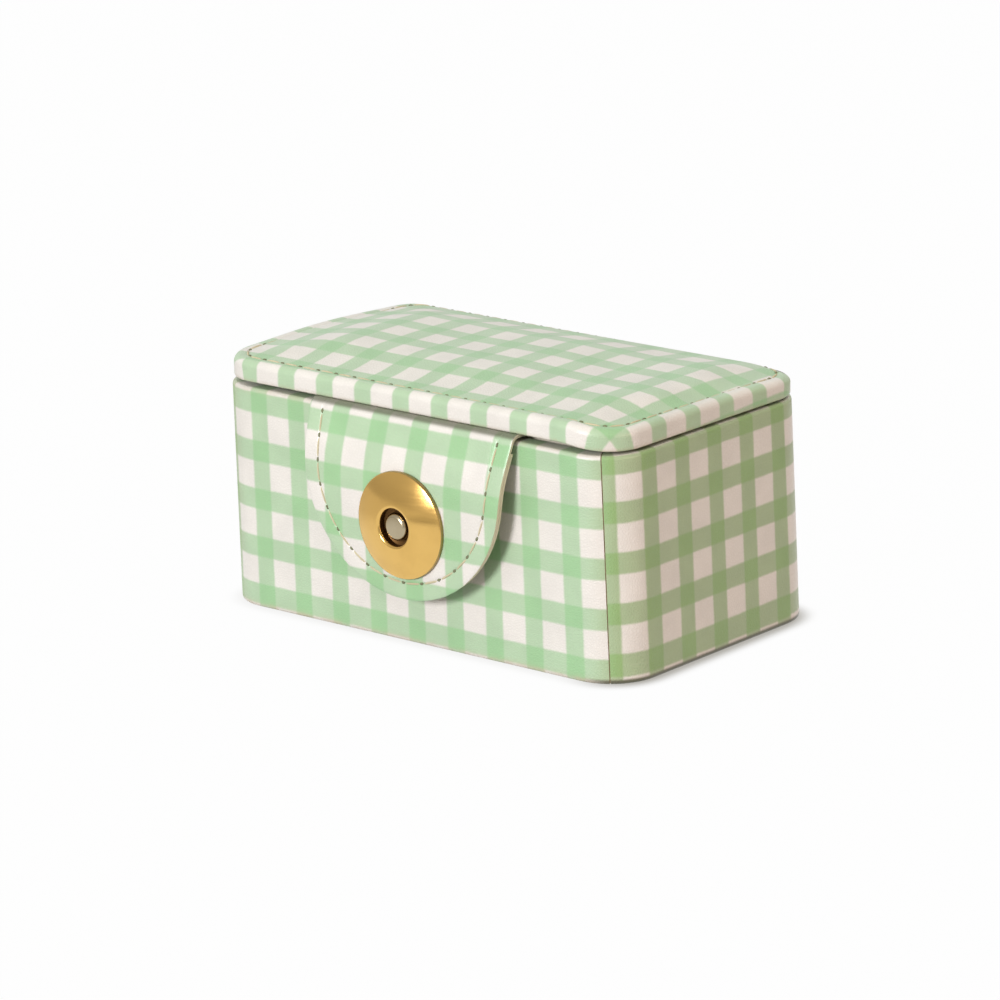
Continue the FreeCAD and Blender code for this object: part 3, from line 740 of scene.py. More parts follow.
def makeBodyCover(b):
    obj = blockAt("bodyCover", (-b["halfX"], -b["halfY"], b["low"]), (b["halfX"], b["halfY"], b["rim"]))
    pick(obj, "EDGE", isUpright)
    roundOff(b["radius"], b["cornerSteps"])
    pick(obj, "FACE", facesUp)
    insetBy(b["rimWidth"])
    drawOut(0, 0, -b["turnIn"])
    bpy.ops.mesh.delete(type="FACE")
    pick(obj, "EDGE", lambda e: midOf(e).z < b["low"] + hair)
    roundOff(b["footRadius"], 6)
    pick(obj, "FACE", isUnderside)
    insetBy(b["turnUnder"] - b["footRadius"])
    bpy.ops.mesh.delete(type="FACE")

    def onRimLoop(e):
        depths = [depthAt(v.co / mm, b) for v in e.verts]
        return midOf(e).z > b["rim"] - hair and abs(depths[0] - depths[1]) < slack

    pick(obj, "EDGE", onRimLoop)
    roundOff(b["rimRadius"], 5)
    cutRows(obj, isWall, 2, b["wearRows"])

    turn = math.radians(b["seamTurn"])
    centre = Vector((b["halfX"] - b["radius"], b["radius"] - b["halfY"]))
    outward, beside = Vector((math.sin(turn), -math.cos(turn))), Vector((math.cos(turn), math.sin(turn)))

    def fromSeam(p):
        flat = Vector((p.x, p.y)) - centre
        return abs(flat.dot(beside)) if flat.dot(outward) > 1 else math.inf

    pick(obj, "EDGE", lambda e: all(fromSeam(v.co / mm) < 2 * hair for v in e.verts))
    roundOff(b["seamHalf"], 2)
    eachVert(obj, lambda p, n: p - n * b["seamDepth"] if fromSeam(p) < 2 * hair else p)
    backToObject(obj)
    seamFaces = {face.index for face in obj.data.polygons if fromSeam(face.center / mm) < b["seamHalf"] * 0.8}
    mapPattern(obj, ginghamRound(b))

    def settled(p, n):  # the wrapped walls aren't quite upright
        right, left = ease(p.x, *b["endRun"]), ease(-p.x, *b["endRun"])
        outer = ease(depthAt(p, b), *b["skin"])
        upward = b["backFoot"] + (1 - b["backFoot"]) * p.z / b["rim"]
        lean = b["footOut"] - b["leanIn"] * p.z - b["backIn"] * ease(p.y, *b["backRun"]) * upward
        drop = b["rimDrop"] * right * ease(p.z, *b["dropRun"])
        return Vector((p.x + outer * (right * lean - left * b["leftOut"]), p.y, p.z - drop))

    bpy.ops.object.mode_set(mode="EDIT")
    eachVert(obj, settled)
    backToObject(obj)
    wear(obj, gingham, sheetBack, cutEdge, seamLine)
    for face in obj.data.polygons:
        if face.index in seamFaces:
            face.material_index = 3
    thicken(obj, b["sheet"])
    smoothSkin(obj)

    # edge wear; along the rim's fold it is also a painted highlight, and along the foot also painted shade
    def edgeMarks(p):
        foot = b["footWearAndShade"] * ease(p.z, *b["footWearAndShadeRun"])
        if depthAt(p, b) >= b["outside"]:
            return foot
        fromFold = abs(p.z - b["rim"] + b["rimWearAndHighlightBelow"])
        return max(foot, b["rimWearAndHighlight"] * ease(fromFold, b["rimWearAndHighlightReach"], 0.0))

    # painted shade: darkens the rim's top under the lid and the lowest band of the foot at the right
    def shaded(p):  # the rim's top under the lid, and the foot at the right
        depth = depthAt(p, b)
        if p.z > b["rim"] - b["rimShadeFrom"]:
            return b["rimShade"] * ease(depth, *b["rimShadeRun"])
        return ease(p.x, *b["rightRun"]) * ease(p.z, *b["footShade"]) if depth < b["outside"] else 0.0

    paint(obj, "wornEdge", edgeMarks)
    paint(obj, "foldShade", shaded)
    paint(obj, "deepTone", lambda p: ease(abs(p.x), *b["endShadeRun"]))  # painted shade: the ends' greens are darker than the front's, where the front has more sheen
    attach(obj, "base")
    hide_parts("body_cover")
    return obj


bodyCover = makeBodyCover(bodyShape)
print("body cover made,", len(bodyCover.data.polygons), "faces")


# lid: padded panel in the same sheet, stitched near its edge, crowned, tipped up a little by the flap's tail

lidShape = {
    "halfX": 42.1, "halfY": 25.35, "radius": 7.9, "midY": 0.05, "low": 37.65, "top": 41.15, "cornerSteps": 18,
    "edgeRadius": 1.25, "lowRadius": 0.35, "turnUnder": 4.6, "sheet": 0.5, "stitchIn": 2.35,
    "grooveHalf": 0.4, "grooveReach": 0.42, "grooveDepth": 0.13, "edgeRow": 1.6, "innerRows": (0.9, 1.3, 1.6),
    "wearRows": (38.4, 38.9), "columnCuts": evenSteps(-33, 33, 33), "rowCuts": evenSteps(-16.5, 16.5, 16),
    "pillow": 1.75, "rightFlat": 0.65, "flatRun": (4.0, 22.0), "reach": 14.0, "rightReach": 5.0,
    "reachRun": (18.0, 30.0), "reachBack": (20.0, 6.0), "reachFront": (-17.0, -9.0), "backRound": 2.0,
    "backReach": 4.5,
    "tip": 0.791, "hinge": (0.0, 25.85, 37.575), "leftRun": (-10.0, -38.0), "leftLift": 0.05, "leftBow": 0.75,
    "bowLength": 50.0, "leftOut": 0.5, "rightRun": (31.0, 42.0), "rightIn": 0.35, "rightLevel": 0.8,
    "rightDrop": 0.45, "dropRun": (5.0, 25.0), "rightSet": 0.42,
    "column": -30.2, "columnStep": 8.215, "row": -18.2, "rowStep": 8.46, "rowShift": 0.44, "columnRise": 0.09,
    "edgePull": 0.6, "pullRun": (28.0, 40.0),
    "wear": 0.45, "wearRun": (38.5, 37.7), "wearDepth": 0.3, "shade": 0.5, "shadeRun": (0.15, 0.65),
    "shadeUp": 0.2,
}


def lidTurn(l):
    at = Matrix.Translation(Vector(l["hinge"]) * mm)
    return at @ Matrix.Rotation(math.radians(-l["tip"]), 4, "X") @ at.inverted()


def lidHeight(x, y, l):  # of the padded top, before it is tipped
    depth = roundOutline(x, y, l)[0]
    near = ease(x, *l["reachRun"]) * ease(y, *l["reachBack"]) * ease(y, *l["reachFront"])
    reach = l["reach"] + (l["rightReach"] - l["reach"]) * near
    pillow = l["pillow"] - l["rightFlat"] * ease(x, *l["flatRun"])
    raised = pillow * ease(depth, l["stitchIn"], l["stitchIn"] + reach)
    behind = max(0.0, 1 - (l["midY"] + l["halfY"] - y) / l["backReach"])
    return l["top"] + raised - grooveAt(depth, l) - l["backRound"] * behind ** 2


def lidForm(p, l):  # carries a place on the flat panel to the padded, tipped and slightly bowed lid
    share = min(1.0, max(0.0, (p.z - l["low"]) / (l["top"] - l["low"])))
    left, right = ease(p.x, *l["leftRun"]), ease(p.x, *l["rightRun"])
    z = p.z + (lidHeight(p.x, p.y, l) - l["top"]) * max(0.0, 2 * share - 1)
    z += left * share * (l["leftLift"] + l["leftBow"] * math.cos(math.pi * p.y / l["bowLength"]) ** 2)
    level = l["rightLevel"] * math.tan(math.radians(l["tip"])) * (l["hinge"][1] - p.y)
    z -= right * (level + l["rightDrop"] * share * ease(p.y, *l["dropRun"]) + l["rightSet"])
    return lidTurn(l) @ (Vector((p.x - left * l["leftOut"] - right * l["rightIn"], p.y, z)) * mm) / mm


def ginghamOverLid(l):  # the sheet's own length is followed round the edge and under it
    r = l["edgeRadius"]
    arcEnd = l["top"] - r

    def place(p, middle):
        depth, _, out = roundOutline(p.x, p.y, l)
        extra = 0.0
        if p.z < arcEnd:
            extra = r * (math.pi / 2 - 1) + arcEnd - p.z
            if depth > slack:
                extra += 2 * depth
        elif depth < r:
            angle = math.asin(min(1.0, max(0.0, (r - depth) / r)))
            extra = r * (angle - math.sin(angle))
        x, y = p.x + out[0] * extra, p.y + out[1] * extra
        rows = (y - l["row"]) / l["rowStep"]
        shift = l["edgePull"] * ease(x, *l["pullRun"]) + l["rowShift"] * max(0.0, rows)
        u = (x + shift - l["column"]) / l["columnStep"]
        return u, rows - u * l["columnRise"] / l["rowStep"]

    return place


def makeLidCover(l):
    low = (-l["halfX"], l["midY"] - l["halfY"], l["low"])
    high = (l["halfX"], l["midY"] + l["halfY"], l["top"])
    obj = blockAt("lidCover", low, high)
    pick(obj, "EDGE", isUpright)
    roundOff(l["radius"], l["cornerSteps"])
    pick(obj, "FACE", facesUp)
    insetBy(*grooveSteps(l))
    pick(obj, "EDGE", lambda e: midOf(e).z < l["low"] + hair)
    roundOff(l["lowRadius"], 3)
    pick(obj, "FACE", isUnderside)
    insetBy(l["turnUnder"] - l["lowRadius"])
    bpy.ops.mesh.delete(type="FACE")
    onRim = lambda v: v.co.z / mm > l["top"] - hair and depthAt(v.co / mm, l) < 2 * hair
    pick(obj, "EDGE", lambda e: all(onRim(v) for v in e.verts))
    roundOff(l["edgeRadius"], 6)
    cutRows(obj, isWall, 2, l["wearRows"])
    cutRows(obj, anyFace, 0, l["columnCuts"])
    cutRows(obj, anyFace, 1, l["rowCuts"])
    backToObject(obj)
    mapPattern(obj, ginghamOverLid(l))

    def edgeMarks(p):
        return l["wear"] * ease(p.z, *l["wearRun"]) if depthAt(p, l) < l["wearDepth"] else 0.0

    # painted shade on the underside's margin by the lower edge, darkening the gap above the rim
    def shaded(p):
        return l["shade"] * ease(depthAt(p, l), *l["shadeRun"]) if p.z < l["low"] + l["shadeUp"] else 0.0

    paint(obj, "wornEdge", edgeMarks)
    paint(obj, "foldShade", shaded)
    bpy.ops.object.mode_set(mode="EDIT")
    eachVert(obj, lambda p, n: lidForm(p, l))
    backToObject(obj)
    wear(obj, gingham, sheetBack, cutEdge)
    thicken(obj, l["sheet"])
    smoothSkin(obj)
    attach(obj, "lid")
    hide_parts("lid_cover", "lid_padding")
    return obj


lidCover = makeLidCover(lidShape)
print("lid cover made,", len(lidCover.data.polygons), "faces")


# flap: face sheet bent round the lid's front edge into an upright tongue, with a second sheet behind it

flapShape = {
    "offset": 1.7, "half": 21.5, "taper": 5.4, "rim": 37.5, "low": 8.75, "endSteps": 72, "drawnTop": 46.5,
    "bendY": -25.299, "bendZ": 36.606, "bendRadius": 1.4, "easeY": -9.35, "easeZ": 26.0, "easeRadius": 20.0,
    "lean": 19.82, "sheet": 0.7, "faceSheet": 0.56, "softEdge": 0.14, "edgeSink": 0.10,
    "tailRuns": (1.0, 14.0),
    "stitchIn": 2.8, "stitchTop": 36.6, "grooveHalf": 0.35, "grooveReach": 0.3675, "grooveDepth": 0.18,
    "edgeRow": 0.5, "innerRows": (1.2,), "cutsFrom": 14.0, "flatCuts": 6, "easeCuts": 7, "leanCuts": 16,
    "bendCuts": 8,
    "backShift": -0.44, "backSheet": 0.62, "backInset": 0.18, "backRows": (2.4, 0.35, 0.35), "backTop": 35.5,
    "backSoftEdge": 0.12, "foldY": -26.819, "foldZ": 36.516, "foldReach": 1.25, "shade": 0.85,
    "shadeRun": (37.5, 38.05),
    "column": -0.1, "columnStep": 8.52, "row": 14.27, "rowStep": 8.3,
}


def flapMarks(shift, f):  # the lean, and the heights where the eased curve and the leaning stretch end
    lean = math.radians(f["lean"])
    easeTop = f["easeZ"] + (f["easeRadius"] + shift) * math.sin(lean)
    return lean, easeTop, f["bendZ"] + (f["bendRadius"] + shift) * math.sin(lean)


def flapPath(z, shift, f):  # how far out the flap is at a height; shift is outward from its face sheet
    lean, easeTop, _ = flapMarks(shift, f)
    r = f["easeRadius"] + shift
    if z <= f["easeZ"]:
        return f["easeY"] - r
    if z <= easeTop:
        return f["easeY"] - math.sqrt(r * r - (z - f["easeZ"]) ** 2)
    return f["easeY"] - r * math.cos(lean) + (z - easeTop) * math.tan(lean)


def flapRun(p, shift, f):  # length along the flap from its tip
    lean, easeTop, leanTop = flapMarks(shift, f)
    r, bend = f["easeRadius"] + shift, f["bendRadius"] + shift
    upright = f["easeZ"] - f["low"]
    eased = upright + r * lean
    leant = eased + (leanTop - easeTop) / math.cos(lean)
    if p.y > f["bendY"]:
        return leant + bend * (math.pi / 2 - lean) + p.y - f["bendY"]
    if p.z > leanTop - hair / 2:
        return leant + bend * (math.atan2(p.z - f["bendZ"], f["bendY"] - p.y) - lean)
    if p.z > easeTop:
        return eased + (p.z - easeTop) / math.cos(lean)
    if p.z > f["easeZ"]:
        return upright + r * math.asin((p.z - f["easeZ"]) / r)
    return p.z - f["low"]


def flapEnd(f):  # radius and centre height of the round end that is tangent to both tapered sides
    taper = math.radians(f["taper"])
    drop = f["rim"] - f["low"]
    r = (f["half"] * math.cos(taper) - drop * math.sin(taper)) / (1 - math.sin(taper))
    return r, f["low"] + r


def drawFlap(name, f):  # front view of the tongue, drawn flat: a circle's lower arc with its ends drawn up
    r, centre = flapEnd(f)
    y = f["easeY"] - f["easeRadius"]
    taper = math.radians(f["taper"])
    top = f["drawnTop"]
    freshStart()
    middle = (f["offset"] * mm, y * mm, centre * mm)
    bpy.ops.mesh.primitive_circle_add(vertices=f["endSteps"] * 2, radius=r * mm, fill_type="NOTHING",
                                      location=middle, rotation=(math.pi / 2, 0, 0))
    obj = nameIt(name)
    setInPlace()
    bpy.ops.object.mode_set(mode="EDIT")
    limit = centre - r * math.sin(taper)
    pick(obj, "VERT", lambda v: v.co.z / mm > limit - slack)
    bpy.ops.mesh.delete(type="VERT")
    for side in (-1, 1):
        pick(obj, "VERT", lambda v: len(v.link_edges) == 1 and (v.co.x / mm - f["offset"]) * side > 0)
        here = [v.co / mm for v in bmesh.from_edit_mesh(obj.data).verts if v.select][0]
        tangent = Vector((f["offset"] + side * r * math.cos(taper), y, limit))
        end = Vector((f["offset"] + side * (f["half"] - (f["rim"] - top) * math.tan(taper)), y, top))
        drawOut(*(tangent - here))
        drawOut(*(end - tangent))
    bpy.ops.mesh.select_all(action="SELECT")
    bpy.ops.mesh.edge_face_add()
    turnForward(obj)
    return obj


def turnForward(obj):  # flips the skin if its lower part faces the box
    bm = bmesh.from_edit_mesh(obj.data)
    bm.normal_update()
    lowest = min(bm.faces, key=lambda face: face.calc_center_median().z)
    if lowest.normal.y > 0:
        bpy.ops.mesh.select_all(action="SELECT")
        bpy.ops.mesh.flip_normals()


def cutFlapRows(obj, f, easeTop):
    cutRows(obj, anyFace, 2, evenSteps(f["cutsFrom"], f["easeZ"], f["flatCuts"]))
    cutRows(obj, anyFace, 2, evenSteps(f["easeZ"], easeTop, f["easeCuts"])[1:])


def makeFlapFace(f):
    shift = f["sheet"] / 2
    lean, easeTop, leanTop = flapMarks(shift, f)
    obj = drawFlap("flapFace", f)
    pick(obj, "FACE", anyFace)
    insetBy(*grooveSteps(f))
    cutAbove(leanTop)
    cutFlapRows(obj, f, easeTop)
    cutRows(obj, anyFace, 2, evenSteps(easeTop, leanTop, f["leanCuts"])[1:-1])
    r, centre = flapEnd(f)
    taper = math.radians(f["taper"])

    def depthIn(p):  # distance inside the drawn outline
        x = abs(p.x - f["offset"])
        if p.z < centre - x * math.tan(taper):
            return r - math.hypot(x, p.z - centre)
        return (f["half"] - (f["rim"] - p.z) * math.tan(taper) - x) * math.cos(taper)

    def wrapped(p, n):
        depth = depthIn(p)
        sink = grooveAt(depth, f) + f["edgeSink"] * max(0.0, 1 - depth / f["edgeRow"]) ** 2
        return Vector((p.x, flapPath(p.z, shift, f) + sink, p.z))

    eachVert(obj, wrapped)
    pick(obj, "EDGE", lambda e: all(abs(v.co.z / mm - leanTop) < hair for v in e.verts))
    bend = f["bendRadius"] + shift
    places = [(f["bendY"] - bend * math.cos(a), f["bendZ"] + bend * math.sin(a))
              for a in evenSteps(lean, math.pi / 2, f["bendCuts"])]
    places += [(f["bendY"] + run, f["bendZ"] + bend) for run in f["tailRuns"]]
    for (y0, z0), (y1, z1) in zip(places, places[1:]):
        drawOut(0, y1 - y0, z1 - z0)
    faceOutwards()
    turnForward(obj)
    backToObject(obj)

    def place(p, middle):
        return (p.x - f["column"]) / f["columnStep"], (flapRun(p, shift, f) - f["row"]) / f["rowStep"]

    mapPattern(obj, place)
    # painted shade where the flap's bend goes in under the lid
    paint(obj, "foldShade", lambda p: f["shade"] * ease(p.z, *f["shadeRun"]))
    wear(obj, gingham, sheetBack, cutEdge)
    thicken(obj, f["faceSheet"])
    softenEdges(obj, f["softEdge"])
    smoothSkin(obj, 40)
    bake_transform(obj)
    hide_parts("flap_root", "flap_face")
    return obj


def makeFlapBack(f):
    shift = f["backShift"]
    easeTop = flapMarks(shift, f)[1]
    obj = drawFlap("flapBack", f)
    pick(obj, "FACE", anyFace)
    insetBy(f["backInset"])
    pick(obj, "FACE", lambda face: len(face.verts) == 4)
    bpy.ops.mesh.delete(type="FACE")
    pick(obj, "FACE", anyFace)
    insetBy(*f["backRows"])
    cutAbove(f["backTop"])
    cutFlapRows(obj, f, easeTop)
    eachVert(obj, lambda p, n: Vector((p.x, flapPath(p.z, shift, f), p.z)))
    backToObject(obj)
    mapPattern(obj, lambda p, middle: (p.x / period, p.z / period))
    wear(obj, sheetBack, plainSheet, cutEdge)
    thicken(obj, f["backSheet"])
    softenEdges(obj, f["backSoftEdge"])
    smoothSkin(obj, 40)
    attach(obj, "flap")
    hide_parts("flap_back", "flap_stiffener")
    return obj


flapFace = makeFlapFace(flapShape)
flapBack = makeFlapBack(flapShape)
print("flap made,", len(flapFace.data.polygons) + len(flapBack.data.polygons), "faces")


# snap: spun cap with a rolled-in hole, and the rivet's nub inside it

snapShape = {
    "x": 1.95, "base": -29.7, "z": 21.2, "steps": 112, "lift": 0.02, "bore": 1.6, "radius": 8.87, "hem": 0.5,
    "footRound": 0.1, "rimHeight": 0.6, "shoulder": ((0.02, -0.10), (0.09, 0.02)), "dome": 22.0,
    "domeFrom": 0.22, "domeTo": 0.25, "domeSteps": 22, "hole": 3.08, "lip": 0.45, "lipSteps": 6,
    "well": ((0.02, 0.95), (0.20, 0.62), (-0.3, 0.34)), "wellFloor": 0.30, "wellBand": 0.3, "wellBelow": 0.75,
    "edgeBand": 0.06,
    "nubRadius": 2.32, "nubHeight": 1.95, "nubEdge": 0.9, "nubSteps": 72, "nubArc": 0.15, "nubArcSteps": 8,
    "nubCrown": ((0.0, 0.06), (0.5, 0.055), (1.0, 0.02)), "nubFoot": ((0.0, 0.36), (0.12, 0.31)),
    "stem": ((1.2, 0.31), (1.2, -2.0), (2.0, -2.05), (2.0, -2.3), (0.0, -2.3)),
}


def spinProfile(name, points, s, steps):  # points are (radius, height out of the flap) along the profile
    freshStart()
    bpy.ops.mesh.primitive_plane_add(size=mm, location=(0, 0, 0))
    obj = nameIt(name)
    bpy.ops.object.mode_set(mode="EDIT")
    bpy.ops.mesh.select_all(action="SELECT")
    bpy.ops.mesh.delete(type="VERT")
    bm = bmesh.from_edit_mesh(obj.data)
    line = [bm.verts.new(Vector((s["x"] + r, s["base"] - h, s["z"])) * mm) for r, h in points]
    for a, b in zip(line, line[1:]):
        bm.edges.new((a, b))
    bmesh.update_edit_mesh(obj.data)
    bpy.ops.mesh.select_all(action="SELECT")
    centre = (s["x"] * mm, s["base"] * mm, s["z"] * mm)
    bpy.ops.mesh.spin(steps=steps, angle=2 * math.pi, center=centre, axis=(0, 1, 0))
    bpy.ops.mesh.select_all(action="SELECT")
    bpy.ops.mesh.remove_doubles(threshold=0.000004)
    faceOutwards()
    backToObject(obj)
    return obj


def makeSnapCap(s):
    radius, hole, lip = s["radius"], s["hole"], s["lip"]

    def domeAt(r):
        return s["rimHeight"] + math.sqrt(s["dome"] ** 2 - r * r) - math.sqrt(s["dome"] ** 2 - radius ** 2)

    brow = domeAt(hole + lip)
    points = [(radius - s["hem"], s["lift"]), (radius - s["footRound"], s["lift"])]
    points.append((radius, s["lift"] + s["footRound"]))
    points += [(radius - inward, s["rimHeight"] + up) for inward, up in s["shoulder"]]
    for r in evenSteps(radius - s["domeFrom"], hole + lip + s["domeTo"], s["domeSteps"]):
        points.append((r, domeAt(r)))
    for a in evenSteps(0, math.pi / 2, s["lipSteps"]):
        points.append((hole + lip - lip * math.sin(a), brow - lip + lip * math.cos(a)))
    points += [(hole + wider, height) for wider, height in s["well"]]
    points += [(s["bore"], s["wellFloor"]), (s["bore"], s["lift"]), points[0]]
    obj = spinProfile("snapCap", points, s, s["steps"])
    wear(obj, brass, dullWell, brassEdgeShade)
    # painted shade: the well inside the hole and the cap's side wall take the darker finishes
    for face in obj.data.polygons:
        p = face.center / mm
        reach, out = math.hypot(p.x - s["x"], p.z - s["z"]), s["base"] - p.y
        if reach < hole + s["wellBand"] and out < brow - lip * s["wellBelow"]:
            face.material_index = 1
        elif reach > radius - s["edgeBand"]:
            face.material_index = 2
    smoothSkin(obj, 42)
    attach(obj, "flap")
    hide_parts("snap_cap")
    return obj


def makeSnapNub(s):
    r, h, e = s["nubRadius"], s["nubHeight"], s["nubEdge"]
    points = [(out, h + up) for out, up in s["nubCrown"]]
    for a in evenSteps(s["nubArc"], math.pi / 2, s["nubArcSteps"]):
        points.append((r - e + e * math.sin(a), h - e + e * math.cos(a)))
    points += [(r + wider, height) for wider, height in s["nubFoot"]]
    obj = spinProfile("snapNub", points + list(s["stem"]), s, s["nubSteps"])
    wear(obj, nubPlate)
    smoothSkin(obj, 42)
    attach(obj, "flap")
    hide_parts("snap_rivet")
    return obj


snapCap = makeSnapCap(snapShape)
snapNub = makeSnapNub(snapShape)
print("snap made,", len(snapCap.data.polygons) + len(snapNub.data.polygons), "faces")


# hinge strip across the back, between body and lid, with rows cut about the hinge's axis

hingeShape = {
    "half": 31.0, "low": 28.5, "high": 39.25, "front": 25.5, "back": 26.2, "corner": 3.0, "topCorner": 0.6,
    "edge": 0.16, "axis": 37.575, "reach": 1.1, "cutsBelow": 0.2, "cuts": 18, "row": 31.5,
}


def makeHingeStrip(h):
    obj = blockAt("hingeStrip", (-h["half"], h["front"], h["low"]), (h["half"], h["back"], h["high"]))
    thick = h["back"] - h["front"]

    def isThrough(e):
        return abs(spanOf(e).y) > thick / 2

    def isOuterRim(e):
        onBack = abs(spanOf(e).y) < hair and midOf(e).y > h["back"] - hair
        return onBack and len(e.link_faces) == 2 and e.calc_face_angle() > 1

    pick(obj, "EDGE", lambda e: isThrough(e) and midOf(e).z < h["low"] + slack)
    roundOff(h["corner"], 8)
    pick(obj, "EDGE", lambda e: isThrough(e) and midOf(e).z > h["high"] - slack)
    roundOff(h["topCorner"], 4)
    pick(obj, "EDGE", isOuterRim)
    roundOff(h["edge"], 3)
    start, end = h["axis"] - h["reach"], h["axis"] + h["reach"]
    cutRows(obj, anyFace, 2, evenSteps(start - h["cutsBelow"], end, h["cuts"]))
    backToObject(obj)
    mapPattern(obj, lambda p, middle: (-p.x / period, (p.z - h["row"]) / period))
    wear(obj, gingham, cutEdge)
    for face in obj.data.polygons:
        if face.normal.y < 0.3:
            face.material_index = 1
    smoothSkin(obj, 40)
    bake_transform(obj)
    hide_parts("hinge_strip")
    return obj


hingeStrip = makeHingeStrip(hingeShape)
print("hinge strip made,", len(hingeStrip.data.polygons), "faces")


# linings: napped fabric on the walls, on the floor card and round the lid's panel

liningShape = {
    "wall": {"outer": 2.8, "inner": 3.6, "low": 2.7, "high": 32.45, "edge": 0.32},
    "floor": {"outer": 3.8, "low": 2.7, "high": 4.1, "edge": 0.45, "rows": (0.6, 1.0)},
    "panel": {"outer": 4.1, "low": 35.85, "high": 37.65, "edge": 0.45, "rows": (0.6, 1.0)},
}


def insetBlock(name, p):  # a block with the body's rounded corners, set in from its outline
    b, inset = bodyShape, p["outer"]
    low = (inset - b["halfX"], inset - b["halfY"], p["low"])
    obj = blockAt(name, low, (b["halfX"] - inset, b["halfY"] - inset, p["high"]))
    pick(obj, "EDGE", isUpright)
    roundOff(b["radius"] - inset, 12)
    return obj


def makeWallLining(w):
    obj = insetBlock("wallLining", w)
    pick(obj, "FACE", lambda f: not isWall(f))
    insetBy(w["inner"] - w["outer"])
    bpy.ops.mesh.bridge_edge_loops()
    inside = lambda v: depthAt(v.co / mm, bodyShape) > w["inner"] - slack
    pick(obj, "EDGE", lambda e: midOf(e).z > w["high"] - hair and all(inside(v) for v in e.verts))
    roundOff(w["edge"], 4)
    faceOutwards()
    wear(obj, liningNap)
    smoothSkin(obj)
    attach(obj, "base")
    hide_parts("wall_lining")
    return obj


def makeLinedPanel(name, p, upward):  # its rounded edge is above, or below
    obj = insetBlock(name, p)
    level = p["high"] if upward else p["low"]
    pick(obj, "EDGE", lambda e: abs(midOf(e).z - level) < hair)
    roundOff(p["edge"], 4)
    pick(obj, "FACE", lambda f: abs(f.calc_center_median().z / mm - level) < hair and len(f.verts) > 20)
    insetBy(*p["rows"])
    wear(obj, liningNap)
    smoothSkin(obj)
    return obj


wallLining = makeWallLining(liningShape["wall"])
floorLining = makeLinedPanel("floorLining", liningShape["floor"], True)
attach(floorLining, "base")
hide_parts("floor_lining")
lidPanel = makeLinedPanel("lidPanel", liningShape["panel"], False)
lidPanel.data.transform(lidTurn(lidShape))
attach(lidPanel, "lid")
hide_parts("liner_fabric")
print("linings made,", sum(len(o.data.polygons) for o in (wallLining, floorLining, lidPanel)), "faces")


# stitching: one stitch modelled, then laid along the lid's and the flap's lines, with a dark bead of painted
# shade at each needle hole

stitchShape = {
    "length": 3.2, "spacing": 4.0, "radius": 0.17, "sides": 8, "cuts": (-0.85, -0.55, 0.0, 0.55, 0.85),
    "slim": 0.45, "dip": 0.26, "lift": 0.08, "hole": 0.33, "holeLong": 1.25, "holeWide": 0.8,
    "holeHeight": 0.20, "holeRings": 5, "holeLift": 0.05, "cornerSteps": 24, "endSteps": 60, "sideSteps": 30,
}


def makeStitch(s):
    freshStart()
    bpy.ops.mesh.primitive_cylinder_add(vertices=s["sides"], radius=s["radius"] * mm, depth=s["length"] * mm,
                                        rotation=(0, math.pi / 2, 0))
    obj = nameIt("oneStitch")
    setInPlace()
    bpy.ops.object.mode_set(mode="EDIT")
    half = s["length"] / 2
    cutRows(obj, anyFace, 0, [half * k for k in s["cuts"]])

    def dipped(p, n):
        bent = (abs(p.x) / half) ** 4
        slim = 1 - s["slim"] * bent
        return Vector((p.x, p.y * slim, p.z * slim - s["dip"] * bent))

    eachVert(obj, dipped)
    backToObject(obj)
    wear(obj, threadLook)
    return obj


def makeHole(s):  # painted shade: a low dark bead stands for the shaded dimple where the thread goes in
    freshStart()
    rings = s["holeRings"]
    bpy.ops.mesh.primitive_uv_sphere_add(segments=s["sides"], ring_count=rings, radius=s["hole"] * mm)
    obj = nameIt("oneHole")
    obj.scale = (s["holeLong"], s["holeWide"], s["holeHeight"] / s["hole"])
    setInPlace()
    wear(obj, holeShade)
    return obj


def layAlong(name, seed, spots, outOf, lift, body):  # spots are (place, way along) in millimetres
    copies = []
    for place, along in spots:
        along, out = along.normalized(), outOf(place)
        side = out.cross(along).normalized()
        turned = Matrix((along, side, along.cross(side))).transposed().to_4x4()
        copy = seed.copy()
        copy.data = seed.data.copy()
        bpy.context.scene.collection.objects.link(copy)
        copy.data.transform(Matrix.Translation((place + out * lift) * mm) @ turned)
        copies.append(copy)
    freshStart()
    for copy in copies:
        copy.select_set(True)
    bpy.context.view_layer.objects.active = copies[0]
    bpy.ops.object.join()
    obj = nameIt(name)
    smoothSkin(obj, 60, weighted=False)
    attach(obj, body)
    return obj


def walkLine(points, spacing):  # even places along a line: the stitches' middles, and the holes between
    lengths = [0.0]
    for a, b in zip(points, points[1:]):
        lengths.append(lengths[-1] + (b - a).length)
    count = max(1, round(lengths[-1] / spacing))
    step = lengths[-1] / count
    found, i = [], 0
    for k in range(2 * count + 1):
        want = k * step / 2
        while i < len(points) - 2 and lengths[i + 1] < want:
            i += 1
        share = (want - lengths[i]) / max(lengths[i + 1] - lengths[i], 1e-9)
        found.append((points[i].lerp(points[i + 1], share), points[i + 1] - points[i]))
    return found[1::2], found[0::2]


def lidStitchLine(l, steps):
    r = l["radius"] - l["stitchIn"]
    cx, cy = l["halfX"] - l["radius"], l["halfY"] - l["radius"]
    points = []
    for sx, sy, start in ((1, -1, 270), (1, 1, 0), (-1, 1, 90), (-1, -1, 180)):
        for a in evenSteps(start, start + 90, steps):
            x = sx * cx + r * math.cos(math.radians(a))
            y = l["midY"] + sy * cy + r * math.sin(math.radians(a))
            points.append(lidForm(Vector((x, y, l["top"])), l))
    return points + [points[0]]


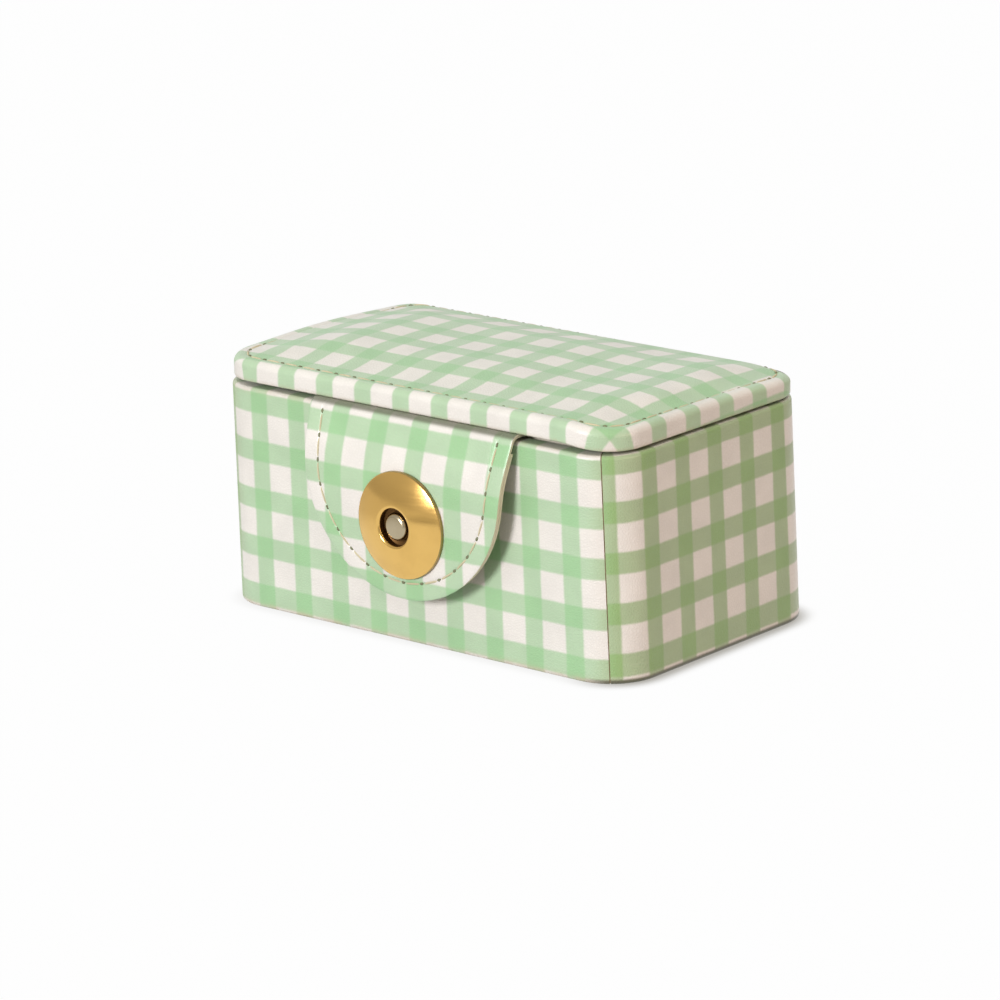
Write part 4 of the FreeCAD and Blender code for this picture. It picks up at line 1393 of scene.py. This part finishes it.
def flapStitchLine(f, endSteps, sideSteps):
    r, centre = flapEnd(f)
    r -= f["stitchIn"]
    taper = math.radians(f["taper"])
    turns = evenSteps(taper - math.pi, -taper, endSteps)
    arc = [(f["offset"] + r * math.cos(a), centre + r * math.sin(a)) for a in turns]
    sides = []
    for (x, z), way in ((arc[0], -1), (arc[-1], 1)):
        rises = evenSteps(0, f["stitchTop"] - z, sideSteps)[1:]
        sides.append([(x + way * rise * math.tan(taper), z + rise) for rise in rises])
    line = sides[0][::-1] + arc + sides[1]
    return [Vector((x, flapPath(z, f["sheet"] / 2, f) + f["grooveDepth"], z)) for x, z in line]


def lidOut(p):
    return Vector((0, 0, 1))


def flapOut(p):  # outward direction of the flap's face
    low, high = (flapPath(p.z + step, flapShape["sheet"] / 2, flapShape) for step in (-slack, slack))
    return Vector((0, -1, (high - low) / (2 * slack))).normalized()


stitch = makeStitch(stitchShape)
hole = makeHole(stitchShape)
lift, holeLift = stitchShape["lift"], stitchShape["holeLift"]
lidLine = lidStitchLine(lidShape, stitchShape["cornerSteps"])
flapLine = flapStitchLine(flapShape, stitchShape["endSteps"], stitchShape["sideSteps"])
lidSpots, lidHoles = walkLine(lidLine, stitchShape["spacing"])
flapSpots, flapHoles = walkLine(flapLine, stitchShape["spacing"])
layAlong("lidThread", stitch, lidSpots, lidOut, lift, "lid")
layAlong("lidHoleShades", hole, lidHoles[:-1], lidOut, holeLift, "lid")
layAlong("flapThread", stitch, flapSpots, flapOut, lift, "flap")
layAlong("flapHoleShades", hole, flapHoles, flapOut, holeLift, "flap")
for seed in (stitch, hole):
    bpy.data.objects.remove(seed)
print("stitching laid,", len(lidSpots) + len(flapSpots), "stitches")


# CAD nodes that keep their own shape get their finish

nodeFinish = {
    "wall_board": greyBoard, "bottom_board": greyBoard, "floor_card": greyBoard, "lid_board": greyBoard,
    "liner_card": greyBoard, "bottom_cover": plainSheet, "keeper_plate": brass, "keeper_washer": platedSteel,
    "magnet_cup": brass, "flap_magnet": magnetDark,
}
for name, finish in nodeFinish.items():
    wear(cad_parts[name], finish)
print("CAD nodes finished")
